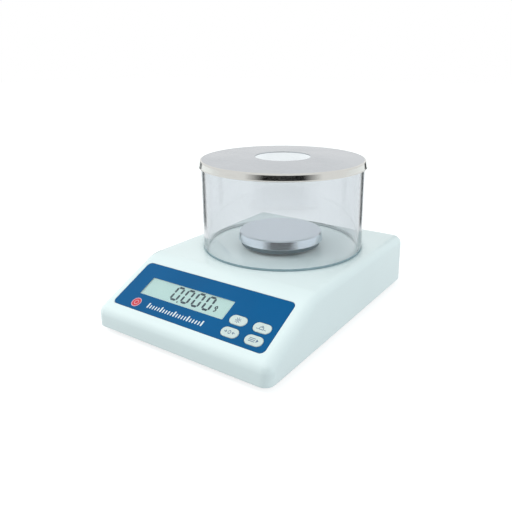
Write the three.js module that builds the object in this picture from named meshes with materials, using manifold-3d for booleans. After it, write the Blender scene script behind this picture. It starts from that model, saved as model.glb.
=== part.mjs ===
// An electronic balance with a round glass windshield, as an assembly of separate pieces.
// Millimetres. +Z is up, the keys and the display face -Y, and the origin is on the ground, under the
// middle of the housing. The weighing pan and the windshield stand on upright axes behind the middle.

import * as THREE from 'three';
import { mergeVertices } from 'three/addons/utils/BufferGeometryUtils.js';
import Module from 'manifold-3d';

const wasm = await Module();
wasm.setup();

// Driving sizes of the whole object
const bodyWidth = 178;
const bodyDepth = 245;
const deckHeight = 46.7; // the housing's lower edge to its flat deck
const frontHeight = 15.6; // the lower edge to the line where the front wall and the slope would meet
const slopeRun = 65.2; // the front wall to the line where the slope and the deck would meet
const footGap = 5; // the ground to the housing's lower edge
const shieldShare = 0.6306; // of the depth, the front wall to the windshield's upright axis
const panShare = 0.6147; // of the depth, the front wall to the weighing pan's upright axis

// Clearances
const seatGap = 0.3; // between pieces that rest on, or sit in, each other
const slideGap = 0.4; // round pieces that slide in or lift out
const overrun = 2; // how far a cutting tool runs past the face it cuts

// Facets
const fineSegments = 56;
const roundSegments = 20;
const mediumSegments = 14;
const smallSegments = 8;
const edgeSteps = 4;
const filletSteps = 4;

// Upper housing
const wall = 2.5;
const edgeRadius = 8;
const frontRadius = 9;
const kneeRadius = 28;
const backRadius = 9;
const deckHoleRadius = 9;
const collarRadius = 14;
const collarHeight = 1.1;
const grooveDepth = 0.5;
const grooveGap = 0.2; // beside the glass

// Base plate
const plateRecess = 1; // the housing's lower edge to the plate's underside
const plateThickness = 3;
const plateGap = 0.4;
const plateRimWidth = 2;
const plateRimHeight = 4;
const ribWidth = 2;
const ribHeight = 3;
const ribFromAxis = 52; // the two long ribs, either side of the middle
const ribLengthShare = 0.86;

// Housing screws and their bosses
const screwInsetX = 9;
const screwInsetY = 9.5;
const bossRadius = 3.6;
const screwRadius = 1.4;
const screwHoleRadius = 1.75;
const screwHeadRadius = 2.8;
const screwHeadHeight = 1.7;
const screwLength = 13;
const screwSlotWidth = 0.8;
const screwSlotDepth = 0.6;

// Levelling feet
const footInset = 24;
const footBossRadius = 7.5;
const footBossHeight = 7;
const studRadius = 3;
const studLength = 11;
const knobRadius = 10;
const knobHeight = 3.4;
const knobLobes = 16;
const knobLobeDepth = 0.7;
const padRadius = 8;
const padChamfer = 0.8;
const neckRadius = 2.6;
const neckHeight = 1.6;

// Windshield
const glassRadius = 76.2;
const glassWall = 4;
const glassHeight = 82.7;
const glassChamfer = 0.8;
const lidRadius = 77.3; // at the bend
const lidSheet = 0.8;
const lidSkirt = 6.7;
const lidEdgeRadius = 1.5;
const lidFlare = 0.6;
const lidEdgeSteps = 3;
const lidBead = 0.45;
const lidBeadHeight = 1;
const lidCrown = 1.5;
const lidHoleRadius = 26;

// Weighing pan and its support
const panRadius = 39.3; // at the bend
const panSheet = 1;
const panHeight = 8;
const panEdgeRadius = 1.4;
const panEdgeSteps = 2;
const panFlare = 1.1;
const panAboveDeck = 15.6;
const supportRadius = 37.6;
const supportAboveDeck = 3.1;
const supportSheet = 2.4;
const supportBossRadius = 9;
const panPadRadius = 3;
const panPadHeight = 1.4;
const panPadStemRadius = 1.5;
const panPadCircle = 27;
const panPads = 3;

// Spindle, load plate and load cell
const spindleRadius = 4;
const spindleTipRadius = 3;
const spindleTipLength = 4.5;
const spindleFlangeRadius = 9;
const spindleFlangeHeight = 2.4;
const cellFromBack = 46.9; // the housing's back to the load cell's free end; the pan stands over its middle
const cellWidth = 16;
const cellHeight = 17;
const cellHoleRadius = 5.2;
const cellHoleSpacing = 30;
const cellSlotHeight = 3;
const cellBoltFromEnd = 7;
const cellBoltSpacing = 13;
const cellBoltRadius = 1.9;
const cellBoltHoleRadius = 2.2;
const cellBoltHeadRadius = 3.4;
const cellBoltHeadHeight = 3;
const cellBoltBite = 11;
const pedestalHeight = 4.2;
const pedestalLength = 24;
const loadPlateThickness = 3.2;
const loadPlateWidth = 22;
const loadPlateStep = 1.6;
const loadTravel = 0.4;
const stopGap = 0.6;
const stopRadius = 2.5;
const stopFlangeRadius = 4.5;
const stopFlangeHeight = 1.6;

// Front panel, on the slope. Places run along the slope from the line where it meets the front wall.
const panelFromSide = 11;
const panelHeight = 49.7;
const panelFromFront = 10.2;
const panelSheet = 0.7;
const panelCorner = 4.2;
const windowHeight = 19;
const windowFromLeft = 17.7; // the panel's left edge to the window
const windowToKeys = 5.3; // the window to the nearest keys
const windowFromFront = 26.5;
const windowPane = 0.6;
const windowPaneInset = 0.1; // the overlay's face to the pane's
const keyWidth = 15.8;
const keyHeight = 8.8;
const keyFromRight = 13.1; // the panel's right edge to the middle of the nearest keys
const keyColumnPitch = 22;
const keyFromFront = 18.3;
const keyRowPitch = 11.9;
const keyNames = [['key_tare', 'key_backlight'], ['key_mode', 'key_cal']];
const keyProud = 0.35;
const keyBevel = 0.35;
const keyFlange = 0.9;
const keyFlangeThickness = 0.8;
const keyStemRadius = 2;
const keyTravel = 0.5;
const stemGap = 0.2; // what is left between a pressed key and its dome
const domeRadius = 3.2;
const domeHeight = 0.8;

// Display board and display
const boardThickness = 1.6;
const displayBoardFromSide = 7;
const displayBoardHeight = 42;
const displayBoardFromFront = 13;
const displayBoardDrop = 6.6; // the slope's face to the board's near face
const lcdThickness = 2.6;
const lcdMargin = 1.6;
const lcdFrameWidth = 2.2;
const boardBossRadius = 2.8;
const boardScrewRadius = 1.1;
const boardScrewHoleRadius = 1.4;
const boardScrewHeadRadius = 2.3;
const boardScrewHeadHeight = 1.3;
const boardScrewLength = 3.6;
const boardScrewInset = 4;

// Main board, its parts and its leads
const mainBoardWidth = 50;
const mainBoardLength = 104;
const mainBoardFromSide = 15;
const mainBoardFront = -32;
const standoffHeight = 4.6;
const standoffRadius = 3.2;
const chipHeight = 2.2;
const chipSide = 12;
const chipPitch = 6;
const capacitorRadius = 4;
const capacitorHeight = 11;
const canWidth = 26;
const canLength = 32;
const canHeight = 6;
const canSheet = 0.6;
const canFromFront = 12;
const headerHeight = 5;
const headerWidth = 22;
const headerDepth = 5;
const ribbonWidth = 18;
const ribbonThickness = 0.8;
const ribbonDrop = 12;
const ribbonRun = 20;
const gaugeLeadRadius = 1.3;
const gaugeLeadRun = 7;
const gaugeLeadFront = 34; // the pan's axis to where the gauge leads come off the load cell
const powerLeadRadius = 1.6;
const powerLeadRun = 18;
const powerLeadBehindCell = 14;
const leadSteps = 7;
const leadSides = 6;

// Rear pocket with the power inlet and the power switch
const pocketWidth = 50;
const pocketHeight = 22;
const pocketDepth = 5;
const pocketCentreX = -30;
const pocketCentreHeight = 22; // above the housing's lower edge
const pocketCorner = 2;
const jackFromCentre = 14;
const jackRadius = 5.4;
const jackFlangeThickness = 1;
const jackBoreRadius = 3.1;
const jackBodyRadius = 4;
const jackBodyLength = 13;
const jackPinRadius = 1;
const jackPinBelow = 1.5; // the flange's face to the pin's end
const jackBackThickness = 2;
const switchFromCentre = 11;
const switchWidth = 19;
const switchHeight = 13;
const switchFlange = 1.2;
const switchFlangeThickness = 1.2;
const switchBodyDepth = 11;
const switchWall = 1.2;
const rockerTilt = 12; // degrees either way from level
const rockerTipAngle = 20; // degrees from level to a tip, seen from the pins
const rockerDip = 1.2; // the middle of the rocker's face above its pins
const rockerKeelAngle = 30; // degrees below level where the rocker's flanks end
const rockerKeel = 5; // the pins to the rocker's lowest point
const rockerSteps = 4;
const rockerPinRadius = 0.9;
const rockerPinDepth = 0.8;
const rockerPinBelow = 1.2; // the flange's face to the pins

// Places worked out from the sizes above
const halfWidth = bodyWidth / 2;
const halfDepth = bodyDepth / 2;
const lowerEdge = footGap;
const deckTop = lowerEdge + deckHeight;
const frontCornerZ = lowerEdge + frontHeight;
const slopeAngle = Math.atan2(deckHeight - frontHeight, slopeRun);
const shieldY = shieldShare * bodyDepth - halfDepth;
const panY = panShare * bodyDepth - halfDepth;
const plateBottom = lowerEdge + plateRecess;
const plateTop = plateBottom + plateThickness;
const half = 1 / 2;
const quarterTurn = Math.PI / 2;
const panelWidth = bodyWidth - 2 * panelFromSide;
const keyRight = panelWidth * half - keyFromRight;
const keyColumns = [keyRight - keyColumnPitch, keyRight];
const keyRows = [keyFromFront, keyFromFront + keyRowPitch];
const windowLeft = windowFromLeft - panelWidth * half;
const windowWidth = keyColumns[0] - keyWidth * half - windowToKeys - windowLeft;
const displayBoardWidth = bodyWidth - 2 * displayBoardFromSide;
const mainBoardLeft = halfWidth - mainBoardFromSide - mainBoardWidth;

// Materials
const finish = (color, roughness, metalness = 0, more = {}) =>
  new THREE.MeshStandardMaterial({ color, roughness, metalness, ...more });
const whitePlastic = finish(0xe6efef, 0.35);
const greyPlastic = finish(0xb9bfc0, 0.6);
const blackPlastic = finish(0x1c1d1f, 0.5);
const blackRubber = finish(0x17181a, 0.85);
const clearGlass = finish(0xdfe8ea, 0.05, 0, { transparent: true, opacity: 0.3 });
const brushedSteel = finish(0xb9bcc3, 0.3, 1);
const castAluminium = finish(0x8d949c, 0.45, 1);
const zincSteel = finish(0xa9a9a6, 0.4, 1);
const panelBlue = finish(0x15539a, 0.4);
const keyWhite = finish(0xdfe8e4, 0.45);
const displayGreen = finish(0xb4cfc9, 0.3);
const boardGreen = finish(0x1f5a36, 0.6);
const cableGrey = finish(0x8f9294, 0.7);

// Solids

// A closed three.js geometry as a solid that can be joined and cut.
function solidOf(geometry, matrix) {
  const bare = geometry.index ? geometry.toNonIndexed() : geometry.clone();
  bare.deleteAttribute('normal');
  bare.deleteAttribute('uv');
  if (matrix) bare.applyMatrix4(matrix);
  const merged = mergeVertices(bare, 1e-4);
  return new wasm.Manifold(new wasm.Mesh({
    numProp: 3,
    vertProperties: merged.attributes.position.array,
    triVerts: new Uint32Array(merged.index.array),
  }));
}

function geometryOf(solid) {
  const { numProp, vertProperties, triVerts } = solid.getMesh();
  const positions = new Float32Array(vertProperties.length / numProp * 3);
  for (let i = 0; i < positions.length / 3; i++) {
    positions.set(vertProperties.subarray(i * numProp, i * numProp + 3), i * 3);
  }
  const geometry = new THREE.BufferGeometry();
  geometry.setAttribute('position', new THREE.BufferAttribute(positions, 3));
  geometry.setIndex(new THREE.BufferAttribute(triVerts, 1));
  geometry.computeVertexNormals();
  return geometry;
}

const joined = (solids) => solids.reduce((whole, solid) => whole.add(solid));
const cut = (solid, tools) => tools.reduce((left, tool) => left.subtract(tool), solid);

// A solid between two heights with an outline in X and Y.
function extruded(shape, low, high, curveSegments = smallSegments) {
  const geometry = new THREE.ExtrudeGeometry(shape, { depth: high - low, bevelEnabled: false, curveSegments });
  return solidOf(geometry.translate(0, 0, low));
}

// An upright cylinder between two heights.
function cylinder(radius, low, high, x = 0, y = 0, segments = smallSegments) {
  const geometry = new THREE.CylinderGeometry(radius, radius, high - low, segments);
  return solidOf(geometry.rotateX(quarterTurn).translate(x, y, (low + high) * half));
}

// A box from its corners.
function block(lowX, highX, lowY, highY, lowZ, highZ) {
  const geometry = new THREE.BoxGeometry(highX - lowX, highY - lowY, highZ - lowZ);
  return solidOf(geometry.translate((lowX + highX) * half, (lowY + highY) * half, (lowZ + highZ) * half));
}

// A solid of revolution about the Z axis. The profile holds [radius, height] pairs, anticlockwise.
function revolved(profile, segments = roundSegments) {
  const closed = profile[0][0] > 0 ? [...profile, profile[0]] : profile;
  const points = closed.map(([radius, height]) => new THREE.Vector2(radius, height));
  return solidOf(new THREE.LatheGeometry(points, segments).rotateX(quarterTurn));
}

function at(solid, x, y, z) {
  return solid.translate([x, y, z]);
}

// A rectangle with round corners, centred on a point.
function roundedRectangle(width, height, radius, x = 0, y = 0) {
  const shape = new THREE.Shape();
  const right = x + width * half;
  const top = y + height * half;
  const left = x - width * half;
  const bottom = y - height * half;
  shape.moveTo(left + radius, bottom);
  shape.lineTo(right - radius, bottom);
  shape.absarc(right - radius, bottom + radius, radius, -quarterTurn, 0);
  shape.lineTo(right, top - radius);
  shape.absarc(right - radius, top - radius, radius, 0, quarterTurn);
  shape.lineTo(left + radius, top);
  shape.absarc(left + radius, top - radius, radius, quarterTurn, Math.PI);
  shape.lineTo(left, bottom + radius);
  shape.absarc(left + radius, bottom + radius, radius, Math.PI, 3 * quarterTurn);
  return shape;
}

// A stadium: a rectangle whose short ends are half circles.
function stadium(width, height, x = 0, y = 0) {
  const shape = new THREE.Shape();
  const straight = (width - height) * half;
  shape.absarc(x + straight, y, height * half, -quarterTurn, quarterTurn);
  shape.absarc(x - straight, y, height * half, quarterTurn, 3 * quarterTurn);
  return shape;
}

// The assembly

const balance = new THREE.Group();
const slope = new THREE.Group(); // X across, Y up the slope, Z out of its face
slope.position.set(0, -halfDepth, frontCornerZ);
slope.rotation.x = slopeAngle;
balance.add(slope);
balance.updateMatrixWorld(true);

function place(name, solid, material, parent = balance) {
  const mesh = new THREE.Mesh(geometryOf(solid), material);
  mesh.name = name;
  parent.add(mesh);
  return mesh;
}

// Moves a solid drawn in the slope's frame to where it cuts the housing.
const onSlope = (solid) => solid.transform(slope.matrixWorld.elements);

const fourCorners = [[-1, -1], [1, -1], [1, 1], [-1, 1]];

// Housing

// The housing's side outline, moved inwards all round but at the bottom: front wall, slope, deck, back.
function sideOutline(inset, bottom) {
  const rise = Math.tan(slopeAngle);
  const slopeDrop = inset / Math.cos(slopeAngle);
  const front = -halfDepth + inset;
  const back = halfDepth - inset;
  const top = deckTop - inset;
  const kneeY = -halfDepth + (top - frontCornerZ + slopeDrop) / rise;
  const corners = [
    [front, frontCornerZ + inset * rise - slopeDrop, frontRadius - inset],
    [kneeY, top, kneeRadius - inset],
    [back, top, backRadius - inset],
  ];
  const outline = [[front, bottom]];
  corners.forEach(([y, z, radius], i) => {
    const before = i ? corners[i - 1] : [front, bottom];
    const after = corners[i + 1] || [back, bottom];
    const heading = Math.atan2(z - before[1], y - before[0]);
    const turn = heading - Math.atan2(after[1] - z, after[0] - y);
    const reach = radius * Math.tan(turn * half);
    const centreY = y - reach * Math.cos(heading) + radius * Math.sin(heading);
    const centreZ = z - reach * Math.sin(heading) - radius * Math.cos(heading);
    for (let step = 0; step <= filletSteps; step++) {
      const angle = heading + quarterTurn - turn * step / filletSteps;
      outline.push([centreY + radius * Math.cos(angle), centreZ + radius * Math.sin(angle)]);
    }
  });
  outline.push([back, bottom]);
  return outline;
}

// The housing's outer form, or a copy moved inwards: side outlines stacked across the width, drawn in
// towards both ends so that the long edges and the upright corners come out round.
function housingForm(inset, bottom) {
  const radius = edgeRadius - inset;
  const sections = [];
  for (const side of [-1, 1]) {
    for (let step = 0; step <= edgeSteps; step++) {
      const angle = quarterTurn * (side < 0 ? step : edgeSteps - step) / edgeSteps;
      const x = side * (halfWidth - inset - radius * (1 - Math.cos(angle)));
      sections.push({ x, outline: sideOutline(inset + radius * (1 - Math.sin(angle)), bottom) });
    }
  }
  const count = sections[0].outline.length;
  const positions = sections.flatMap(({ x, outline }) => outline.flatMap(([y, z]) => [x, y, z]));
  const index = [];
  for (let s = 0; s < sections.length - 1; s++) {
    for (let i = 0; i < count; i++) {
      const next = (i + 1) % count;
      const [a, b, c, d] = [s * count + i, s * count + next, (s + 1) * count + i, (s + 1) * count + next];
      index.push(a, b, d, a, d, c);
    }
  }
  const last = (sections.length - 1) * count;
  for (let i = 1; i < count - 1; i++) {
    index.push(0, i + 1, i);
    index.push(last, last + i, last + i + 1);
  }
  const geometry = new THREE.BufferGeometry();
  geometry.setAttribute('position', new THREE.Float32BufferAttribute(positions, 3));
  geometry.setIndex(index);
  const form = solidOf(geometry);
  if (form.volume() > 0) return form;
  geometry.setIndex(index.reverse());
  return solidOf(geometry);
}

const screwPlaces = fourCorners.map(([i, j]) => [i * (halfWidth - screwInsetX), j * (halfDepth - screwInsetY)]);
const footPlaces = fourCorners.map(([i, j]) => [i * (halfWidth - footInset), j * (halfDepth - footInset)]);
const panelCentre = panelFromFront + panelHeight * half;
const windowCentreX = windowLeft + windowWidth * half;
const windowCentreY = windowFromFront + windowHeight * half;
const panelSeat = -(panelSheet + seatGap); // the floor of the panel's recess, below the slope's face
const boardNear = -displayBoardDrop;
const boardFar = boardNear - boardThickness;
const boardCentreY = displayBoardFromFront + displayBoardHeight * half;
const boardScrewPlaces = fourCorners.map(([i, j]) => [
  i * (displayBoardWidth * half - boardScrewInset),
  boardCentreY + j * (displayBoardHeight * half - boardScrewInset),
]);
const pocketZ = lowerEdge + pocketCentreHeight;
const pocketFloor = halfDepth - pocketDepth;
const jackX = pocketCentreX + jackFromCentre;
const switchX = pocketCentreX - switchFromCentre;

// The display's outline, grown all round.
const lcdOutline = (extra) => roundedRectangle(windowWidth + 2 * (lcdMargin + extra),
  windowHeight + 2 * (lcdMargin + extra), slideGap, windowCentreX, windowCentreY);

// An outline drawn in X and Z, made solid between two depths in Y.
function acrossBack(shape, near, far, curveSegments = 2) {
  return extruded(shape, near, far, curveSegments).rotate([90, 0, 0]).scale([1, -1, 1]);
}

function upperHousing() {
  const pocketBlock = acrossBack(
    roundedRectangle(pocketWidth + 2 * wall, pocketHeight + 2 * wall, pocketCorner + wall, pocketCentreX, pocketZ),
    pocketFloor - wall, halfDepth - wall * half,
  );
  const cavity = housingForm(wall, lowerEdge - overrun).subtract(pocketBlock);
  const inWall = housingForm(wall * half, lowerEdge);
  const bosses = screwPlaces.map(([x, y]) => cylinder(bossRadius, plateTop + seatGap, deckTop, x, y).intersect(inWall));
  const boardBosses = boardScrewPlaces.map(([x, y]) =>
    onSlope(cylinder(boardBossRadius, boardNear + seatGap, -wall * half, x, y)));
  const collar = cylinder(collarRadius, deckTop - wall * half, deckTop + collarHeight, 0, panY, roundSegments);
  const shell = joined([housingForm(0, lowerEdge).subtract(cavity), ...bosses, ...boardBosses, collar]);

  const groove = at(revolved([
    [glassRadius - glassWall - grooveGap, -grooveDepth],
    [glassRadius + grooveGap, -grooveDepth],
    [glassRadius + grooveGap, overrun],
    [glassRadius - glassWall - grooveGap, overrun],
  ], fineSegments), 0, shieldY, deckTop);
  const deckHole = cylinder(deckHoleRadius, deckTop - wall - overrun, deckTop + collarHeight + overrun, 0, panY,
    roundSegments);
  const panelRecess = onSlope(extruded(
    roundedRectangle(panelWidth + 2 * seatGap, panelHeight + 2 * seatGap, panelCorner + seatGap, 0, panelCentre),
    panelSeat, overrun, filletSteps,
  ));
  const window = onSlope(extruded(
    lcdOutline(slideGap), -wall - overrun, overrun, 2,
  ));
  const keyHoles = keyColumns.flatMap((x) => keyRows.map((y) => onSlope(extruded(
    stadium(keyWidth + 2 * (keyFlange + slideGap), keyHeight + 2 * (keyFlange + slideGap), x, y),
    -wall - overrun, overrun, filletSteps,
  ))));
  const screwHoles = screwPlaces.map(([x, y]) =>
    cylinder(screwHoleRadius, plateTop - overrun, plateBottom + screwLength + seatGap, x, y));
  const boardScrewHoles = boardScrewPlaces.map(([x, y]) =>
    onSlope(cylinder(boardScrewHoleRadius, boardFar, boardFar + boardScrewLength + seatGap, x, y)));
  const pocket = acrossBack(
    roundedRectangle(pocketWidth, pocketHeight, pocketCorner, pocketCentreX, pocketZ), pocketFloor, halfDepth + overrun,
  );
  const jackHole = acrossBack(circle(jackBodyRadius + slideGap, jackX, pocketZ), pocketFloor - wall - overrun, halfDepth,
    smallSegments);
  const switchHole = acrossBack(
    roundedRectangle(switchWidth + 2 * slideGap, switchHeight + 2 * slideGap, slideGap, switchX, pocketZ),
    pocketFloor - wall - overrun, halfDepth,
  );
  return cut(shell, [groove, deckHole, panelRecess, window, ...keyHoles, ...screwHoles, ...boardScrewHoles,
    pocket, jackHole, switchHole]);
}

function circle(radius, x = 0, y = 0) {
  const shape = new THREE.Shape();
  shape.absarc(x, y, radius, 0, 2 * Math.PI);
  return shape;
}

// The plate's half sizes, inside the housing's walls
const plateHalfWidth = halfWidth - wall - plateGap;
const plateHalfDepth = halfDepth - wall - plateGap;
const plateCorner = edgeRadius - wall - plateGap;
const cellBack = halfDepth - cellFromBack;
const cellFront = 2 * panY - cellBack;
const cellBottom = plateTop + pedestalHeight;
const cellTop = cellBottom + cellHeight;
const fixedBoltPlaces = [0, 1].map((i) => cellFront + cellBoltFromEnd + i * cellBoltSpacing);
const freeBoltPlaces = [0, 1].map((i) => cellBack - cellBoltFromEnd - i * cellBoltSpacing);
const stopY = cellBack - stopFlangeRadius;
const mainBoardBottom = plateTop + standoffHeight;
const mainBoardTop = mainBoardBottom + boardThickness;
const mainBoardX = mainBoardLeft + mainBoardWidth * half;
const mainBoardY = mainBoardFront + mainBoardLength * half;
const mainScrewPlaces = fourCorners.map(([i, j]) => [
  mainBoardX + i * (mainBoardWidth * half - boardScrewInset),
  mainBoardY + j * (mainBoardLength * half - boardScrewInset),
]);

function basePlate() {
  const outline = (shrink) => roundedRectangle(
    2 * (plateHalfWidth - shrink), 2 * (plateHalfDepth - shrink), plateCorner - shrink,
  );
  const sheet = extruded(outline(0), plateBottom, plateTop, filletSteps);
  const rim = extruded(outline(0), plateTop - plateThickness * half, plateTop + plateRimHeight, filletSteps)
    .subtract(extruded(outline(plateRimWidth), plateTop - plateThickness, plateTop + plateRimHeight + overrun, filletSteps));
  const rimGaps = screwPlaces.map(([x, y]) =>
    cylinder(bossRadius + slideGap, plateTop, plateTop + plateRimHeight + overrun, x, y));
  const longRibs = [-1, 1].map((side) => block(
    side * ribFromAxis - ribWidth * half, side * ribFromAxis + ribWidth * half,
    -plateHalfDepth * ribLengthShare, mainBoardFront - slideGap, plateTop - plateThickness * half, plateTop + ribHeight,
  ));
  const footBosses = footPlaces.map(([x, y]) => cylinder(footBossRadius, plateBottom, plateTop + footBossHeight, x, y,
    mediumSegments));
  const standoffs = mainScrewPlaces.map(([x, y]) =>
    cylinder(standoffRadius, plateTop - plateThickness * half, mainBoardBottom, x, y));
  const whole = joined([sheet, cut(rim, rimGaps), ...longRibs, ...footBosses, ...standoffs]);

  const footHoles = footPlaces.map(([x, y]) =>
    cylinder(studRadius + slideGap, plateBottom - overrun, plateTop + footBossHeight + overrun, x, y));
  const screwHoles = screwPlaces.flatMap(([x, y]) => [
    cylinder(screwHoleRadius, plateBottom - overrun, plateTop + overrun, x, y),
    cylinder(screwHeadRadius + slideGap, plateBottom - overrun, plateBottom + screwHeadHeight, x, y),
  ]);
  const cellBoltHoles = fixedBoltPlaces.flatMap((y) => [
    cylinder(cellBoltHoleRadius, plateBottom - overrun, plateTop + overrun, 0, y),
    cylinder(cellBoltHeadRadius + slideGap, plateBottom - overrun, plateBottom + plateThickness * half, 0, y),
  ]);
  const stopHole = cylinder(stopRadius + slideGap, plateBottom - overrun, plateTop + overrun, 0, stopY);
  const boardHoles = mainScrewPlaces.map(([x, y]) =>
    cylinder(boardScrewHoleRadius, mainBoardTop - boardScrewLength - seatGap, mainBoardTop, x, y));
  return cut(whole, [...footHoles, ...screwHoles, ...cellBoltHoles, stopHole, ...boardHoles]);
}

// A screw with a slotted head at the bottom end, its shank pointing up.
function slottedScrew(shankRadius, length, headRadius, headHeight) {
  const shank = cylinder(shankRadius, 0, length);
  const head = cylinder(headRadius, 0, headHeight, 0, 0, smallSegments);
  const slot = block(-headRadius - overrun, headRadius + overrun, -screwSlotWidth * half, screwSlotWidth * half,
    -overrun, screwSlotDepth);
  return shank.add(head).subtract(slot);
}

place('upper_housing', upperHousing(), whitePlastic);
place('base_plate', basePlate(), greyPlastic);
screwPlaces.forEach(([x, y], i) => {
  const screw = slottedScrew(screwRadius, screwLength - seatGap, screwHeadRadius, screwHeadHeight - seatGap);
  place(`housing_screw_${i + 1}`, screw, zincSteel).position.set(x, y, plateBottom);
});

// Levelling feet: a knurled knob with a threaded stud, on a rubber pad that it turns in

function footScrew() {
  const shape = new THREE.Shape();
  for (let i = 0; i < 2 * knobLobes; i++) {
    const angle = Math.PI * i / knobLobes;
    const radius = i % 2 ? knobRadius - knobLobeDepth : knobRadius;
    shape[i ? 'lineTo' : 'moveTo'](radius * Math.cos(angle), radius * Math.sin(angle));
  }
  const knob = extruded(shape, 0, knobHeight);
  const stud = cylinder(studRadius, knobHeight * half, knobHeight + studLength);
  const socket = cylinder(neckRadius + slideGap, -overrun, neckHeight + seatGap);
  return knob.add(stud).subtract(socket);
}

const padTop = plateBottom - seatGap - knobHeight - seatGap;

function footPad() {
  return revolved([
    [0, 0],
    [padRadius - padChamfer, 0],
    [padRadius, padChamfer],
    [padRadius, padTop],
    [neckRadius, padTop],
    [neckRadius, padTop + neckHeight],
    [0, padTop + neckHeight],
  ], mediumSegments);
}

footPlaces.forEach(([x, y], i) => {
  place(`foot_screw_${i + 1}`, footScrew(), blackPlastic).position.set(x, y, padTop + seatGap);
  place(`foot_pad_${i + 1}`, footPad(), blackRubber).position.set(x, y, 0);
});

// Windshield: a glass cylinder in a shallow groove, with a pressed steel lid

const glassBottom = deckTop - grooveDepth + seatGap;
const glassTop = glassBottom + glassHeight;

function windshieldGlass() {
  return revolved([
    [glassRadius - glassWall, glassBottom],
    [glassRadius, glassBottom],
    [glassRadius, glassTop - glassChamfer],
    [glassRadius - glassChamfer, glassTop],
    [glassRadius - glassWall, glassTop],
  ], fineSegments);
}

// Points of a quarter turn from straight out to straight up, or back down for the inner face.
function quarterArc(centreRadius, centreHeight, radius, steps) {
  return Array.from({ length: steps + 1 }, (_, step) => {
    const angle = quarterTurn * step / steps;
    return [centreRadius + radius * Math.cos(angle), centreHeight + radius * Math.sin(angle)];
  });
}

function windshieldLid() {
  const under = glassTop + seatGap;
  const top = under + lidSheet;
  const low = top - lidSkirt;
  const bendRadius = lidRadius - lidEdgeRadius;
  const bendHeight = top - lidEdgeRadius;
  const mouth = lidRadius + lidFlare;
  const seat = glassRadius - glassWall;
  return revolved([
    [mouth - lidSheet, low],
    [mouth + lidBead, low],
    [mouth + lidBead, low + lidBeadHeight * half],
    [mouth, low + lidBeadHeight],
    ...quarterArc(bendRadius, bendHeight, lidEdgeRadius, lidEdgeSteps),
    [seat, top],
    [lidHoleRadius, top + lidCrown],
    [lidHoleRadius, under + lidCrown],
    [seat, under],
    ...quarterArc(bendRadius, bendHeight, lidEdgeRadius - lidSheet, lidEdgeSteps).reverse(),
  ], fineSegments);
}

place('windshield_glass', windshieldGlass(), clearGlass).position.y = shieldY;
place('windshield_lid', windshieldLid(), brushedSteel).position.y = shieldY;

// Weighing pan, its support and the rubber pads between them

const panTop = deckTop + panAboveDeck;
const panUnder = panTop - panSheet;
const supportTop = panUnder - seatGap - panPadHeight;
const supportBottom = deckTop + supportAboveDeck;

function weighingPan() {
  const low = panTop - panHeight;
  const bendRadius = panRadius - panEdgeRadius;
  const bendHeight = panTop - panEdgeRadius;
  return revolved([
    [0, panUnder],
    ...quarterArc(bendRadius, bendHeight, panEdgeRadius - panSheet, panEdgeSteps).reverse(),
    [panRadius + panFlare - panSheet, low],
    [panRadius + panFlare, low],
    ...quarterArc(bendRadius, bendHeight, panEdgeRadius, panEdgeSteps),
    [0, panTop],
  ], fineSegments);
}

const spindleTop = supportTop - supportSheet;
const panPadPlaces = Array.from({ length: panPads }, (_, i) => {
  const angle = 2 * Math.PI * (i + half) / panPads;
  return [panPadCircle * Math.cos(angle), panPadCircle * Math.sin(angle)];
});

function panSupport() {
  const disc = revolved([
    [0, spindleTop - spindleTipLength - supportSheet],
    [supportBossRadius, spindleTop - spindleTipLength - supportSheet],
    [supportBossRadius, supportTop - supportSheet],
    [supportRadius - supportSheet, supportTop - supportSheet],
    [supportRadius - supportSheet, supportBottom],
    [supportRadius, supportBottom],
    [supportRadius, supportTop],
    [0, supportTop],
  ], fineSegments);
  const socket = cylinder(spindleTipRadius + slideGap, supportBottom - overrun, spindleTop + seatGap, 0, 0, smallSegments);
  const padHoles = panPadPlaces.map(([x, y]) =>
    cylinder(panPadStemRadius + slideGap, supportBottom, supportTop + overrun, x, y));
  return cut(disc, [socket, ...padHoles]);
}

function panPad() {
  return revolved([
    [0, supportTop - supportSheet],
    [panPadStemRadius, supportTop - supportSheet],
    [panPadStemRadius, supportTop],
    [panPadRadius, supportTop],
    [panPadRadius, supportTop + panPadHeight * half],
    [panPadStemRadius, supportTop + panPadHeight],
    [0, supportTop + panPadHeight],
  ], smallSegments);
}

place('weighing_pan', weighingPan(), brushedSteel).position.y = panY;
place('pan_support', panSupport(), castAluminium).position.y = panY;
panPadPlaces.forEach(([x, y], i) => {
  place(`pan_pad_${i + 1}`, panPad(), blackRubber).position.set(x, panY + y, 0);
});

// Load cell, what it stands on and what it carries

const loadPlateBottom = cellTop + loadPlateStep;
const loadPlateTop = loadPlateBottom + loadPlateThickness;

function loadCell() {
  const shape = new THREE.Shape();
  shape.moveTo(cellFront, cellBottom);
  shape.lineTo(cellBack, cellBottom);
  shape.lineTo(cellBack, cellTop);
  shape.lineTo(cellFront, cellTop);
  const holes = new THREE.Path();
  const middle = (cellBottom + cellTop) * half;
  const mouth = Math.asin(cellSlotHeight * half / cellHoleRadius);
  holes.absarc(panY - cellHoleSpacing * half, middle, cellHoleRadius, mouth, 2 * Math.PI - mouth);
  holes.absarc(panY + cellHoleSpacing * half, middle, cellHoleRadius, Math.PI + mouth, 3 * Math.PI - mouth);
  shape.holes.push(holes);
  const geometry = new THREE.ExtrudeGeometry(shape, { depth: cellWidth, bevelEnabled: false, curveSegments: smallSegments });
  const bar = solidOf(geometry.rotateY(quarterTurn).rotateX(quarterTurn).translate(-cellWidth * half, 0, 0));
  const boltHoles = [...fixedBoltPlaces, ...freeBoltPlaces].map((y) =>
    cylinder(cellBoltHoleRadius, cellBottom - overrun, cellTop + overrun, 0, y));
  return cut(bar, boltHoles);
}

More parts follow.
